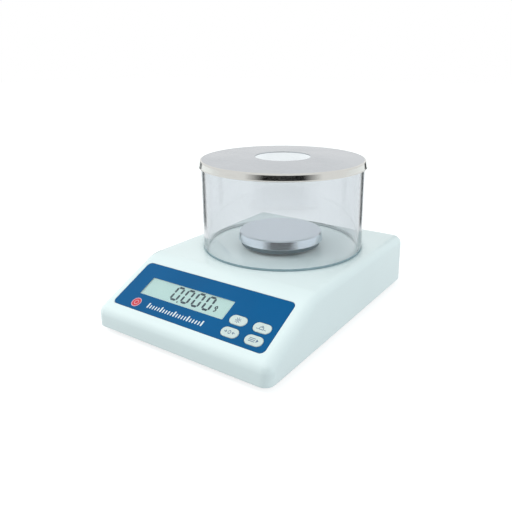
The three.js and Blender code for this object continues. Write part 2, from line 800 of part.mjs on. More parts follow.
function cellPedestal() {
  const form = block(-cellWidth * half, cellWidth * half, cellFront, cellFront + pedestalLength, plateTop, cellBottom);
  return cut(form, fixedBoltPlaces.map((y) => cylinder(cellBoltHoleRadius, plateTop - overrun, cellBottom + overrun, 0, y)));
}

function loadPlate() {
  const shape = new THREE.Shape();
  shape.absarc(0, panY, loadPlateWidth * half, Math.PI, 2 * Math.PI);
  shape.lineTo(loadPlateWidth * half, cellBack);
  shape.lineTo(-loadPlateWidth * half, cellBack);
  const sheet = extruded(shape, loadPlateBottom, loadPlateTop);
  const step = block(-cellWidth * half, cellWidth * half, cellBack - pedestalLength, cellBack, cellTop,
    loadPlateBottom + loadPlateThickness * half);
  const holes = freeBoltPlaces.map((y) => cylinder(cellBoltHoleRadius, cellTop - overrun, loadPlateTop + overrun, 0, y));
  const spindleHole = cylinder(spindleRadius + slideGap, loadPlateBottom - overrun, loadPlateTop + overrun, 0, panY);
  return cut(sheet.add(step), [...holes, spindleHole]);
}

function spindle() {
  return revolved([
    [0, loadPlateBottom],
    [spindleRadius, loadPlateBottom],
    [spindleRadius, loadPlateTop],
    [spindleFlangeRadius, loadPlateTop],
    [spindleFlangeRadius, loadPlateTop + spindleFlangeHeight],
    [spindleRadius, loadPlateTop + 2 * spindleFlangeHeight],
    [spindleRadius, spindleTop - spindleTipLength - supportSheet - seatGap],
    [spindleTipRadius, spindleTop - spindleTipLength - supportSheet - seatGap],
    [spindleTipRadius, spindleTop],
    [0, spindleTop],
  ], mediumSegments);
}

// A cap screw with its head at the top, its shank pointing down from zero.
function cellBolt(length) {
  const whole = cylinder(cellBoltRadius, -length, 0).add(cylinder(cellBoltHeadRadius, 0, cellBoltHeadHeight));
  const socket = cylinder(cellBoltHeadRadius * half, cellBoltHeadHeight * half, cellBoltHeadHeight + overrun, 0, 0, 6);
  return whole.subtract(socket);
}

place('load_cell', loadCell(), castAluminium);
place('cell_pedestal', cellPedestal(), castAluminium);
place('load_plate', loadPlate(), zincSteel);
place('spindle', spindle(), zincSteel).position.y = panY;
const fixedBoltLength = plateThickness * half + pedestalHeight + cellBoltBite;
fixedBoltPlaces.forEach((y, i) => {
  const bolt = cellBolt(fixedBoltLength);
  const head = place(`cell_bolt_${i + 1}`, bolt, zincSteel);
  head.rotation.x = Math.PI;
  head.position.set(0, y, plateBottom + plateThickness * half - seatGap);
});
freeBoltPlaces.forEach((y, i) => {
  const bolt = cellBolt(loadPlateThickness + loadPlateStep + cellBoltBite);
  place(`cell_bolt_${i + 3}`, bolt, zincSteel).position.set(0, y, loadPlateTop);
});

// The overload stop, a flanged screw in the base plate under the load cell's free end
function overloadStop() {
  return revolved([
    [0, plateBottom],
    [stopRadius, plateBottom],
    [stopRadius, plateTop],
    [stopFlangeRadius, plateTop],
    [stopFlangeRadius, plateTop + stopFlangeHeight],
    [stopRadius, plateTop + stopFlangeHeight],
    [stopRadius, cellBottom - stopGap],
    [0, cellBottom - stopGap],
  ], smallSegments);
}

place('overload_stop', overloadStop(), zincSteel).position.y = stopY;

// Front panel: overlay, lens, keys and their domes

function panelOverlay() {
  const sheet = extruded(roundedRectangle(panelWidth, panelHeight, panelCorner, 0, panelCentre), -panelSheet, 0, filletSteps);
  const window = extruded(
    roundedRectangle(windowWidth, windowHeight, slideGap, windowCentreX, windowCentreY), -panelSheet - overrun, overrun, 2,
  );
  const keyHoles = keyColumns.flatMap((x) => keyRows.map((y) => extruded(
    stadium(keyWidth + 2 * seatGap, keyHeight + 2 * seatGap, x, y), -panelSheet - overrun, overrun, filletSteps,
  )));
  return cut(sheet, [window, ...keyHoles]);
}

function displayWindow() {
  return extruded(
    roundedRectangle(windowWidth - 2 * windowPaneInset, windowHeight - 2 * windowPaneInset, slideGap, windowCentreX,
      windowCentreY),
    -windowPaneInset - windowPane, -windowPaneInset, 2,
  );
}

const domeTop = boardNear + seatGap + domeHeight;

// A key: a cap with a bevelled rim, a flange that keeps it under the overlay, and a stem.
function key() {
  const capGeometry = new THREE.ExtrudeGeometry(stadium(keyWidth - 2 * keyBevel, keyHeight - 2 * keyBevel), {
    depth: panelSheet + seatGap, bevelEnabled: true, bevelSize: keyBevel, bevelThickness: keyProud,
    bevelSegments: 1, curveSegments: filletSteps,
  });
  const cap = solidOf(capGeometry.translate(0, 0, panelSeat));
  const flange = extruded(stadium(keyWidth + 2 * keyFlange, keyHeight + 2 * keyFlange),
    panelSeat - keyFlangeThickness, panelSeat, filletSteps);
  const stem = cylinder(keyStemRadius, domeTop + keyTravel + stemGap, panelSeat - keyFlangeThickness * half);
  return joined([cap, flange, stem]);
}

function dome() {
  const steps = 3;
  const profile = Array.from({ length: steps + 1 }, (_, step) => {
    const angle = quarterTurn * step / steps;
    return [domeRadius * Math.cos(angle), domeHeight * Math.sin(angle)];
  });
  profile[steps][0] = 0;
  return revolved([[0, 0], ...profile], smallSegments);
}

place('panel_overlay', panelOverlay(), panelBlue, slope);
place('display_window', displayWindow(), clearGlass, slope);
keyColumns.forEach((x, column) => keyRows.forEach((y, row) => {
  const name = keyNames[column][row];
  place(name, key(), keyWhite, slope).position.set(x, y, 0);
  place(name.replace('key', 'dome'), dome(), zincSteel, slope).position.set(x, y, boardNear + seatGap);
}));

// Display, its frame and the board behind the panel

function lcdPanel() {
  return extruded(lcdOutline(0), panelSeat - lcdThickness, panelSeat, 2);
}

function lcdFrame() {
  const outer = extruded(lcdOutline(lcdFrameWidth), boardNear + seatGap, -wall - seatGap, 2);
  const seat = extruded(lcdOutline(seatGap), panelSeat - lcdThickness - seatGap, overrun, 2);
  return outer.subtract(seat);
}

function displayBoard() {
  const sheet = extruded(roundedRectangle(displayBoardWidth, displayBoardHeight, slideGap, 0, boardCentreY), boardFar, boardNear, 2);
  const header = block(mainBoardX - headerWidth * half, mainBoardX + headerWidth * half, boardCentreY - headerDepth * half,
    boardCentreY + headerDepth * half, boardFar - headerHeight * half, boardFar + boardThickness * half);
  const chip = block(-headerWidth - chipSide, -headerWidth, boardCentreY - chipSide * half, boardCentreY + chipSide * half,
    boardFar - chipHeight, boardFar + boardThickness * half);
  const holes = boardScrewPlaces.map(([x, y]) =>
    cylinder(boardScrewHoleRadius, boardFar - overrun, boardNear + overrun, x, y));
  return cut(joined([sheet, header, chip]), holes);
}

place('lcd_panel', lcdPanel(), displayGreen, slope);
place('lcd_frame', lcdFrame(), blackPlastic, slope);
place('display_board', displayBoard(), boardGreen, slope);
boardScrewPlaces.forEach(([x, y], i) => {
  const screw = slottedScrew(boardScrewRadius, boardScrewLength + boardScrewHeadHeight, boardScrewHeadRadius,
    boardScrewHeadHeight);
  place(`board_screw_${i + 1}`, screw, zincSteel, slope).position.set(x, y, boardFar - boardScrewHeadHeight - seatGap);
});

// Main board on the base plate

const canFront = mainBoardFront + canFromFront;
const headerFront = mainBoardFront + headerDepth;

function mainBoard() {
  const shape = roundedRectangle(mainBoardWidth, mainBoardLength, slideGap, mainBoardX, mainBoardY);
  const sheet = extruded(shape, mainBoardBottom, mainBoardTop, 2);
  const inBoard = mainBoardTop - boardThickness * half;
  const chips = [0, 1].map((i) => {
    const front = canFront + canLength + chipSide * half + i * (chipSide + chipPitch);
    return block(mainBoardX - chipSide * half, mainBoardX + chipSide * half, front, front + chipSide, inBoard,
      mainBoardTop + chipHeight);
  });
  const capacitors = [-1, 1].map((side) => cylinder(capacitorRadius, inBoard, mainBoardTop + capacitorHeight,
    mainBoardX + side * chipSide, mainBoardFront + mainBoardLength - chipSide));
  const header = block(mainBoardX - headerWidth * half, mainBoardX + headerWidth * half, mainBoardFront,
    headerFront, inBoard, mainBoardTop + headerHeight);
  const holes = mainScrewPlaces.map(([x, y]) =>
    cylinder(boardScrewHoleRadius, mainBoardBottom - overrun, mainBoardTop + overrun, x, y));
  return cut(joined([sheet, ...chips, ...capacitors, header]), holes);
}

function shieldCan() {
  const x = mainBoardX;
  const y = canFront + canLength * half;
  const outer = extruded(roundedRectangle(canWidth, canLength, 2 * canSheet, x, y),
    mainBoardTop + seatGap, mainBoardTop + canHeight, 2);
  const inner = extruded(roundedRectangle(canWidth - 2 * canSheet, canLength - 2 * canSheet, canSheet, x, y),
    mainBoardTop - overrun, mainBoardTop + canHeight - canSheet, 2);
  return outer.subtract(inner);
}

place('main_board', mainBoard(), boardGreen);
place('shield_can', shieldCan(), zincSteel);
mainScrewPlaces.forEach(([x, y], i) => {
  const screw = slottedScrew(boardScrewRadius, boardScrewLength + boardScrewHeadHeight, boardScrewHeadRadius,
    boardScrewHeadHeight);
  const mesh = place(`main_board_screw_${i + 1}`, screw, zincSteel);
  mesh.rotation.x = Math.PI;
  mesh.position.set(x, y, mainBoardTop + boardScrewHeadHeight);
});

// Rear pocket: the low-voltage inlet and the power switch with its rocker. Depths run outwards from the
// pocket's floor.

function powerJack() {
  return revolved([
    [0, -jackBodyLength],
    [jackBodyRadius, -jackBodyLength],
    [jackBodyRadius, 0],
    [jackRadius, 0],
    [jackRadius, jackFlangeThickness],
    [jackBoreRadius, jackFlangeThickness],
    [jackBoreRadius, jackBackThickness - jackBodyLength],
    [jackPinRadius, jackBackThickness - jackBodyLength],
    [jackPinRadius, jackFlangeThickness - jackPinBelow],
    [0, jackFlangeThickness - jackPinBelow],
  ], mediumSegments);
}

const rockerY = pocketFloor + switchFlangeThickness - rockerPinBelow;
const rockerWidth = switchHeight - 2 * switchWall - 2 * slideGap;
const rockerReach = switchWidth * half - switchWall - slideGap;

function powerSwitch() {
  const rectangle = (extra, corner) =>
    roundedRectangle(switchWidth + 2 * extra, switchHeight + 2 * extra, corner, switchX, pocketZ);
  const flange = acrossBack(rectangle(switchFlange, switchFlange), pocketFloor, pocketFloor + switchFlangeThickness);
  const body = acrossBack(rectangle(0, slideGap), pocketFloor - switchBodyDepth, pocketFloor + switchFlangeThickness * half);
  const well = acrossBack(rectangle(-switchWall, slideGap), pocketFloor - switchBodyDepth + switchWall, halfDepth);
  const pinReach = rockerWidth * half + slideGap + rockerPinDepth + seatGap;
  const pinHole = cylinder(rockerPinRadius + slideGap, pocketZ - pinReach, pocketZ + pinReach, switchX, rockerY);
  return flange.add(body).subtract(well).subtract(pinHole);
}

// The rocker about its pins, pressed on its left side: X along it, Y outwards.
function powerRocker() {
  const polar = (degrees) => {
    const angle = THREE.MathUtils.degToRad(degrees);
    return new THREE.Vector2(rockerReach * Math.cos(angle), rockerReach * Math.sin(angle));
  };
  const swing = rockerTipAngle + rockerKeelAngle;
  const flank = Array.from({ length: rockerSteps + 1 }, (_, i) => polar(-rockerKeelAngle + swing * i / rockerSteps));
  const mirrored = flank.map(({ x, y }) => new THREE.Vector2(-x, y)).reverse();
  const shape = new THREE.Shape([new THREE.Vector2(0, -rockerKeel), ...flank, new THREE.Vector2(0, rockerDip), ...mirrored]);
  const pinReach = rockerWidth * half + slideGap + rockerPinDepth;
  const rocker = extruded(shape, -rockerWidth * half, rockerWidth * half).add(cylinder(rockerPinRadius, -pinReach, pinReach));
  return rocker.rotate([0, 0, rockerTilt]);
}

const jackMesh = place('power_jack', powerJack(), blackPlastic);
jackMesh.rotation.x = -quarterTurn;
jackMesh.position.set(jackX, pocketFloor, pocketZ);
place('power_switch', powerSwitch(), blackPlastic);
place('power_rocker', powerRocker(), blackPlastic).position.set(switchX, rockerY, pocketZ);

// Leads

// A round lead along a smooth line through the points.
function lead(radius, points) {
  const path = new THREE.CatmullRomCurve3(points.map((point) => new THREE.Vector3(...point)));
  const section = new THREE.Shape(Array.from({ length: leadSides }, (_, i) => {
    const angle = 2 * Math.PI * i / leadSides;
    return new THREE.Vector2(radius * Math.cos(angle), radius * Math.sin(angle));
  }));
  return solidOf(new THREE.ExtrudeGeometry(section, { steps: leadSteps, bevelEnabled: false, extrudePath: path }));
}

// The flat cable from the display board's header down and back to the main board's.
function ribbonCable() {
  const header = new THREE.Vector3(0, boardCentreY, boardFar - headerHeight * half - seatGap).applyMatrix4(slope.matrixWorld);
  const end = [mainBoardFront - seatGap, mainBoardTop + headerHeight * half];
  const path = new THREE.CubicBezierCurve(
    new THREE.Vector2(header.y, header.z),
    new THREE.Vector2(header.y + ribbonDrop * Math.sin(slopeAngle), header.z - ribbonDrop * Math.cos(slopeAngle)),
    new THREE.Vector2(end[0] - ribbonRun, end[1]),
    new THREE.Vector2(...end),
  );
  const sides = [-1, 1].map((side) => Array.from({ length: leadSteps + 1 }, (_, i) => {
    const point = path.getPoint(i / leadSteps);
    const along = path.getTangent(i / leadSteps);
    const offset = side * ribbonThickness * half;
    return new THREE.Vector2(point.x - along.y * offset, point.y + along.x * offset);
  }));
  const shape = new THREE.Shape([...sides[0], ...sides[1].reverse()]);
  const geometry = new THREE.ExtrudeGeometry(shape, { depth: ribbonWidth, bevelEnabled: false });
  return solidOf(geometry.rotateY(quarterTurn).rotateX(quarterTurn).translate(mainBoardX - ribbonWidth * half, 0, 0));
}

function gaugeLeads() {
  const start = cellWidth * half + seatGap;
  const low = mainBoardTop + gaugeLeadRadius + seatGap;
  const middle = (cellBottom + cellTop) * half;
  return lead(gaugeLeadRadius, [
    [start, panY - gaugeLeadFront, middle],
    [start + gaugeLeadRun, panY - gaugeLeadFront, middle],
    [mainBoardLeft, panY - gaugeLeadFront - gaugeLeadRun, low + gaugeLeadRadius],
    [mainBoardLeft + gaugeLeadRun, panY - gaugeLeadFront - 2 * gaugeLeadRun, low],
  ]);
}

function powerLeads() {
  const boardEnd = mainBoardFront + mainBoardLength;
  const low = mainBoardTop + powerLeadRadius + seatGap;
  const jackBack = pocketFloor - jackBodyLength - seatGap;
  const switchBack = pocketFloor - switchBodyDepth - seatGap;
  const shared = [
    [0, cellBack + powerLeadBehindCell, pocketZ - powerLeadRun * half],
    [mainBoardLeft + powerLeadRun, boardEnd + powerLeadRun * half, low + powerLeadRadius],
    [mainBoardX, boardEnd - powerLeadRun * half, low],
  ];
  const fromJack = lead(powerLeadRadius, [[jackX, jackBack, pocketZ], [jackX, jackBack - powerLeadRun * half, pocketZ], ...shared]);
  const fromSwitch = lead(powerLeadRadius, [
    [switchX, switchBack, pocketZ], [switchX, switchBack - powerLeadRun * half, pocketZ], ...shared,
  ]);
  return fromJack.add(fromSwitch);
}

place('ribbon_cable', ribbonCable(), cableGrey);
place('gauge_leads', gaugeLeads(), cableGrey);
place('power_leads', powerLeads(), blackRubber);

export default balance;
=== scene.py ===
"""An electronic balance with a round glass windshield: its finishes, its printed marks and its studio."""

import math

import bmesh
import bpy
from mathutils import Matrix, Vector


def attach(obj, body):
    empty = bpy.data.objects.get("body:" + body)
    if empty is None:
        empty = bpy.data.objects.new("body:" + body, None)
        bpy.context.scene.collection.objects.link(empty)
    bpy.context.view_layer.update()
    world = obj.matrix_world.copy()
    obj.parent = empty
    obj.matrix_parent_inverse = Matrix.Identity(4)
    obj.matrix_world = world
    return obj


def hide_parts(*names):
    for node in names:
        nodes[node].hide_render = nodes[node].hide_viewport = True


MM = 0.001

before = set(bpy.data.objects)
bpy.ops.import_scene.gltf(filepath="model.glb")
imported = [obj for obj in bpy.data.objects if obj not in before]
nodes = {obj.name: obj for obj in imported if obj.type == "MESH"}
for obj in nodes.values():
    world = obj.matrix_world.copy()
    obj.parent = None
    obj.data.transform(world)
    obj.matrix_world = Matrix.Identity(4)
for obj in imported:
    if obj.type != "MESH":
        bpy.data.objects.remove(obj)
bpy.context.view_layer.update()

# Sizes that the marks share with the housing, in millimetres

BODY_DEPTH = 245
SLOPE_RUN = 65.2
SLOPE_RISE = 31.1
SLOPE_FOOT = 20.6  # the ground to where the front wall and the slope would meet
SLOPE_ANGLE = math.atan2(SLOPE_RISE, SLOPE_RUN)
KEY_FACE = 0.35  # the keys stand this proud of the slope
LCD_FACE = -1.0  # the display's face lies this far under the slope
KEYS = {
    "key_backlight": (42.8, 30.2),
    "key_cal": (64.8, 30.2),
    "key_tare": (42.8, 18.3),
    "key_mode": (64.8, 18.3),
}
SHIELD_AXIS = (0, 32.0)
PAN_AXIS = (0, 28.1)


# Objects and directions

def add_object(name, data):
    """A new object in the scene that shows a mesh, a lamp or a camera."""
    added = bpy.data.objects.new(name, data)
    bpy.context.scene.collection.objects.link(added)
    return added


def add_mesh(name, mesh, materials):
    """A new object in the scene made from a mesh being edited, which is used up."""
    data = bpy.data.meshes.new(name)
    mesh.to_mesh(data)
    mesh.free()
    for material in materials:
        data.materials.append(material)
    return add_object(name, data)


def towards(bearing, elevation):
    """The direction with a bearing and an elevation in degrees; bearing 0 is the front, 90 the right."""
    b, e = math.radians(bearing), math.radians(elevation)
    return Vector((math.sin(b) * math.cos(e), -math.cos(b) * math.cos(e), math.sin(e)))


# Camera

CAMERA_BEARING = 33.595
CAMERA_ELEVATION = 16.429
CAMERA_PLACE = (0.26913, -0.38330, 0.21979)
FRAME_SIZE = 512  # in pixels, like the next two
FOCAL_LENGTH = 533.99
PICTURE_CENTRE = (276.889, 220.678)
SENSOR_WIDTH = 36
NEAREST_SEEN = 0.01


def make_camera():
    """An upright camera, its lens shifted so that the picture's centre lies where it should."""
    back = towards(CAMERA_BEARING, CAMERA_ELEVATION)
    right = towards(CAMERA_BEARING + 90, 0)
    up = back.cross(right)
    data = bpy.data.cameras.new("camera")
    data.sensor_width = SENSOR_WIDTH
    data.lens = FOCAL_LENGTH / FRAME_SIZE * SENSOR_WIDTH
    data.shift_x = (FRAME_SIZE / 2 - PICTURE_CENTRE[0]) / FRAME_SIZE
    data.shift_y = (PICTURE_CENTRE[1] - FRAME_SIZE / 2) / FRAME_SIZE
    data.clip_start = NEAREST_SEEN
    camera = add_object("camera", data)
    rotation = Matrix((right, up, back)).transposed().to_4x4()
    camera.matrix_world = Matrix.Translation(CAMERA_PLACE) @ rotation
    bpy.context.scene.camera = camera


make_camera()


# Material building

def srgb(r, g, b):
    """A colour written as it looks on screen, 0 to 255, as linear light."""
    def linear(value):
        value /= 255
        return value / 12.92 if value <= 0.04045 else ((value + 0.055) / 1.055) ** 2.4
    return linear(r), linear(g), linear(b), 1


# The places of the colour sockets in a mixing node
MIX_AMOUNT, MIX_FIRST, MIX_SECOND, MIX_RESULT = 0, 6, 7, 2


class Nodes:
    """A node tree whose nodes are added one after another."""

    def __init__(self, tree):
        self.tree = tree

    def add(self, kind, inputs=None, **settings):
        node = self.tree.nodes.new(kind)
        for key, value in settings.items():
            setattr(node, key, value)
        for key, value in (inputs or {}).items():
            self.set(node.inputs[key], value)
        return node

    def set(self, socket, value):
        if isinstance(value, bpy.types.NodeSocket):
            self.tree.links.new(value, socket)
        else:
            socket.default_value = value

    def ramp(self, value, low, high, out_low=0.0, out_high=1.0, curve="LINEAR"):
        """Maps value from low to high onto out_low to out_high, and holds it there beyond."""
        node = self.add("ShaderNodeMapRange", {
            "Value": value, "From Min": low, "From Max": high, "To Min": out_low, "To Max": out_high},
            interpolation_type=curve)
        return node.outputs["Result"]

    def math(self, operation, a, b=0.0):
        return self.add("ShaderNodeMath", {0: a, 1: b}, operation=operation).outputs[0]

    def mix(self, amount, a, b):
        node = self.add("ShaderNodeMix", {MIX_AMOUNT: amount, MIX_FIRST: a, MIX_SECOND: b}, data_type="RGBA")
        return node.outputs[MIX_RESULT]

    def seen(self):
        """1 for what the eye meets: straight, in a mirror or through glass. 0 for all other light."""
        path = self.add("ShaderNodeLightPath").outputs
        met = self.math("MAXIMUM", path["Is Camera Ray"], path["Is Glossy Ray"])
        return self.math("MAXIMUM", met, path["Is Transmission Ray"])


class Surface(Nodes):
    """A material that starts as a plain surface, shader naming its first values."""

    def __init__(self, name, **shader):
        self.material = bpy.data.materials.new(name)
        self.material.use_nodes = True
        super().__init__(self.material.node_tree)
        self.shader = self.tree.nodes["Principled BSDF"]
        for socket, value in shader.items():
            self.shader.inputs[socket.replace("_", " ").title().replace("Ior", "IOR")].default_value = value
        self.place = self.add("ShaderNodeTexCoord").outputs["Object"]
        self.normal = None

    def stretched(self, scale):
        return self.add("ShaderNodeMapping", {"Vector": self.place, "Scale": scale}).outputs["Vector"]

    def noise(self, scale, detail=2.0, place=None):
        inputs = {"Vector": place or self.place, "Scale": scale, "Detail": detail}
        return self.add("ShaderNodeTexNoise", inputs).outputs["Fac"]

    def varied(self, noise, low=0.0, high=1.0):
        """A noise with its usual values, 0.3 to 0.7, spread from low to high."""
        return self.ramp(noise, 0.3, 0.7, low, high)

    def round_edges(self, radius):
        self.normal = self.add("ShaderNodeBevel", {"Radius": radius}, samples=4).outputs["Normal"]

    def edge_mask(self, radius):
        """1 on the object's edges and corners, 0 on its flats."""
        soft = self.add("ShaderNodeBevel", {"Radius": radius}, samples=6).outputs["Normal"]
        true = self.add("ShaderNodeNewGeometry").outputs["True Normal"]
        turn = self.add("ShaderNodeVectorMath", {0: soft, 1: true}, operation="DOT_PRODUCT").outputs["Value"]
        return self.ramp(self.math("SUBTRACT", 1.0, turn), 0.02, 0.25)

    def bump(self, height, distance, strength=1.0):
        inputs = {"Height": height, "Distance": distance, "Strength": strength}
        if self.normal:
            inputs["Normal"] = self.normal
        self.normal = self.add("ShaderNodeBump", inputs).outputs["Normal"]

    def finish(self, color, roughness):
        self.set(self.shader.inputs["Base Color"], color)
        self.set(self.shader.inputs["Roughness"], roughness)
        if self.normal:
            self.set(self.shader.inputs["Normal"], self.normal)
        return self.material


def scaled(color, share):
    """A colour made lighter or darker."""
    return tuple(min(1, channel * share) for channel in color[:3]) + (1,)


# the darker grey of the painted shade in the housing's corners and hollows
CORNER_SHADE = srgb(176, 190, 192)
RUBBED_WHITE = srgb(246, 250, 249)
ALONG_STREAKS = 12  # how often, in a metre, brushed lines change along their length


def moulded(name, color, roughness, grain=2200, depth=0.00003, variation=0.04, edge=0.0006, worn=None,
            specular=0.5):
    """A moulded or painted plain material: cloudy colour, fine grain, and edges rubbed a little smoother."""
    s = Surface(name, specular_ior_level=specular)
    cloud = s.noise(14, 3)
    base = s.mix(s.ramp(cloud, 0.35, 0.65), scaled(color, 1 - variation), scaled(color, 1 + variation / 2))
    rub = s.math("MULTIPLY", s.edge_mask(edge * 2), s.ramp(s.noise(90, 4), 0.42, 0.62, 0, 0.5))
    base = s.mix(rub, base, worn or scaled(color, 1.12))
    uneven = s.varied(s.noise(55, 3), roughness - 0.05, roughness + 0.06)
    shine = s.math("SUBTRACT", uneven, s.math("MULTIPLY", rub, 0.12))
    s.round_edges(edge)
    s.bump(s.noise(grain, 2), depth)
    return s.finish(base, shine)


def housing_plastic(name, color, roughness):
    """The housing's plastic: glossy, faintly grained, with painted shade in its corners and rubbed edges."""
    s = Surface(name, specular_ior_level=0.45)
    cloud = s.ramp(s.noise(9, 3), 0.35, 0.65)
    base = s.mix(cloud, scaled(color, 0.975), color)
    # painted shade: where ambient occlusion finds a corner or hollow, the colour goes darker and the surface
    # rougher, in specks
    corners = s.add("ShaderNodeAmbientOcclusion", {"Distance": 0.006}, samples=6).outputs["AO"]
    hollow = s.ramp(corners, 0.55, 0.95, 1, 0)
    corner_shade = s.math("MULTIPLY", hollow, s.ramp(s.noise(160, 4), 0.35, 0.7, 0.25, 0.9))
    base = s.mix(s.math("MULTIPLY", corner_shade, 0.35), base, CORNER_SHADE)
    rub = s.math("MULTIPLY", s.edge_mask(0.0015), s.ramp(s.noise(120, 4), 0.45, 0.62, 0, 0.4))
    base = s.mix(rub, base, RUBBED_WHITE)
    fine = s.noise(2600, 2)
    shine = s.varied(s.noise(20, 3), roughness - 0.015, roughness + 0.02)
    shine = s.math("ADD", shine, s.math("MULTIPLY", corner_shade, 0.15))
    s.round_edges(0.0005)
    s.bump(fine, 0.000006, 0.7)
    return s.finish(base, shine)


def turned_metal(name, color, roughness, axis=None, streak=2600, rub=0.05, edge=0.0003, lumps=0.0):
    """Brushed or turned metal. With an axis, its lines are circles about it; else they run along X."""
    s = Surface(name, metallic=1.0)
    if axis:
        centre = tuple(value * MM for value in axis) + (0,)
        flat = s.add("ShaderNodeVectorMath", {0: s.place, 1: centre}, operation="SUBTRACT")
        x, y, z = s.add("ShaderNodeSeparateXYZ", {"Vector": flat.outputs["Vector"]}).outputs
        squares = s.math("ADD", s.math("MULTIPLY", x, x), s.math("MULTIPLY", y, y))
        radius = s.math("POWER", squares, 0.5)
        lines = s.add("ShaderNodeCombineXYZ", {
            "X": s.math("MULTIPLY", radius, streak),
            "Y": s.math("MULTIPLY", z, streak),
            "Z": s.math("MULTIPLY", x, ALONG_STREAKS)}).outputs["Vector"]
    else:
        lines = s.stretched((ALONG_STREAKS, streak, streak))
    brush = s.noise(1.0, 2, lines)
    cloud = s.noise(22, 3)
    base = s.mix(s.varied(brush), scaled(color, 0.96), scaled(color, 1.03))
    base = s.mix(s.ramp(cloud, 0.4, 0.7, 0, 0.3), base, scaled(color, 0.95))
    # painted highlight: every edge of the metal is made evenly lighter
    edge_highlight = s.math("MULTIPLY", s.edge_mask(edge * 2), 0.5)
    base = s.mix(edge_highlight, base, scaled(color, 1.15))
    brushed = s.varied(brush, roughness - rub, roughness + rub)
    shine = s.math("ADD", brushed, s.varied(cloud, -0.03, 0.04))
    s.round_edges(edge)
    s.bump(brush, 0.0000015, 0.5)
    if lumps:
        s.bump(s.noise(420, 2), lumps)
    return s.finish(base, shine)


def clear(name, color, ior=1.5, roughness=0.015, depth_loss=None):
    """Glass that lets light through to what stands behind it, with faint smears on its faces.

    depth_loss is the share of red, green and blue that a metre of it would take away."""
    s = Surface(name, transmission_weight=1.0, ior=ior)
    smear = s.ramp(s.noise(38, 5, s.stretched((1, 1, 0.35))), 0.48, 0.75)
    s.bump(s.noise(12, 2), 0.00004)
    tint = s.mix(smear, color, scaled(color, 0.985))
    s.finish(tint, s.math("ADD", s.math("MULTIPLY", smear, 0.05), roughness))
    path = s.add("ShaderNodeLightPath")
    passed = s.math("MAXIMUM", path.outputs["Is Shadow Ray"], path.outputs["Is Diffuse Ray"])
    solid, through = s.shader.outputs["BSDF"], s.add("ShaderNodeBsdfTransparent").outputs["BSDF"]
    either = s.add("ShaderNodeMixShader", {0: passed, 1: solid, 2: through})
    output = s.tree.nodes["Material Output"]
    s.set(output.inputs["Surface"], either.outputs["Shader"])
    if depth_loss:
        density = 4 * max(depth_loss)  # any density above the largest loss gives the same look
        kept = tuple(1 - loss / density for loss in depth_loss) + (1,)
        seen = s.math("MULTIPLY", s.math("SUBTRACT", 1.0, passed), density)
        depth = s.add("ShaderNodeVolumeAbsorption", {"Color": kept, "Density": seen})
        s.set(output.inputs["Volume"], depth.outputs["Volume"])
    return s.material


MATERIALS = {
    "white": housing_plastic("white_plastic", srgb(231, 243, 245), roughness=0.24),
    "grey": moulded("grey_plastic", srgb(186, 192, 193), roughness=0.6, grain=1500, depth=0.00005),
    "black": moulded("black_plastic", srgb(34, 35, 38), roughness=0.42, worn=srgb(70, 71, 74)),
    "rubber": moulded("black_rubber", srgb(28, 29, 31), roughness=0.82, grain=900, depth=0.00006,
                      worn=srgb(60, 60, 61)),
    "blue": moulded("panel_blue", srgb(7, 90, 144), roughness=0.45, grain=3200, depth=0.00002,
                    variation=0.06, edge=0.0002, worn=srgb(40, 105, 175), specular=0.12),
    "key": moulded("key_white", srgb(208, 221, 219), roughness=0.4, grain=2600, depth=0.00002,
                   edge=0.00025, worn=srgb(228, 237, 235)),
    "lid": turned_metal("brushed_steel", srgb(182, 187, 192), roughness=0.24),
    "lid_skirt": turned_metal("rolled_steel", srgb(211, 211, 207), roughness=0.1, rub=0.03, lumps=0.00002),
    # painted light: the lid's underside is the lid's own steel made lighter, so that it throws more light
    # onto the deck below
    "lid_inside": turned_metal("lid_underside_lightened_steel", srgb(226, 227, 226), roughness=0.3),
    "pan": turned_metal("pan_steel", srgb(226, 235, 242), roughness=0.2, axis=PAN_AXIS),
    # the pan support is real, but its dark slate colour is painted shade and dark reflection, far darker than
    # the metal itself
    "support": turned_metal("support_metal_painted_shade", srgb(84, 106, 114), roughness=0.42, axis=PAN_AXIS,
                            streak=1600),
    "zinc": turned_metal("zinc_steel", srgb(196, 196, 192), roughness=0.36, streak=1400),
    "aluminium": turned_metal("aluminium", srgb(182, 187, 192), roughness=0.4, streak=1500),
    "glass": clear("clear_glass", srgb(252, 253, 254), depth_loss=(48.0, 45.0, 42.0)),
    "pane": clear("display_pane", srgb(247, 250, 250), ior=1.35, roughness=0.03),
    "board": moulded("board_green", srgb(30, 92, 54), roughness=0.5, grain=700, depth=0.00003,
                     worn=srgb(80, 130, 90)),
    "cable": moulded("cable_grey", srgb(146, 149, 150), roughness=0.65, grain=1200),
}


def display_green():
    """The display: an even grey-green with faint clouds and the fine grain of its diffuser."""
    s = Surface("display_green", specular_ior_level=0.5)
    base = s.mix(s.ramp(s.noise(26, 2), 0.35, 0.7), srgb(184, 214, 212), srgb(192, 221, 217))
    base = s.mix(s.ramp(s.noise(5200, 1), 0.35, 0.65, 0, 0.2), base, srgb(176, 206, 203))
    s.round_edges(0.0003)
    return s.finish(base, s.varied(s.noise(60, 3), 0.3, 0.4))


def ink(name, color, wear=0.25):
    """Printed ink: nearly even, with small worn specks."""
    s = Surface(name, specular_ior_level=0.4)
    fleck = s.ramp(s.noise(2400, 3), 0.58, 0.7, 0, wear)
    base = s.mix(fleck, color, scaled(color, 0.8))
    return s.finish(base, s.varied(s.noise(300, 2), 0.42, 0.55))


MATERIALS["display"] = display_green()
INKS = {
    "white": ink("white_ink", srgb(222, 232, 237)),
    "red": ink("red_ink", srgb(205, 52, 66)),
    "rose": ink("rose_ink", srgb(224, 178, 190)),
    "slate": ink("slate_ink", srgb(92, 116, 146)),
    "segment": ink("display_segment", srgb(10, 46, 62), wear=0.1),
}

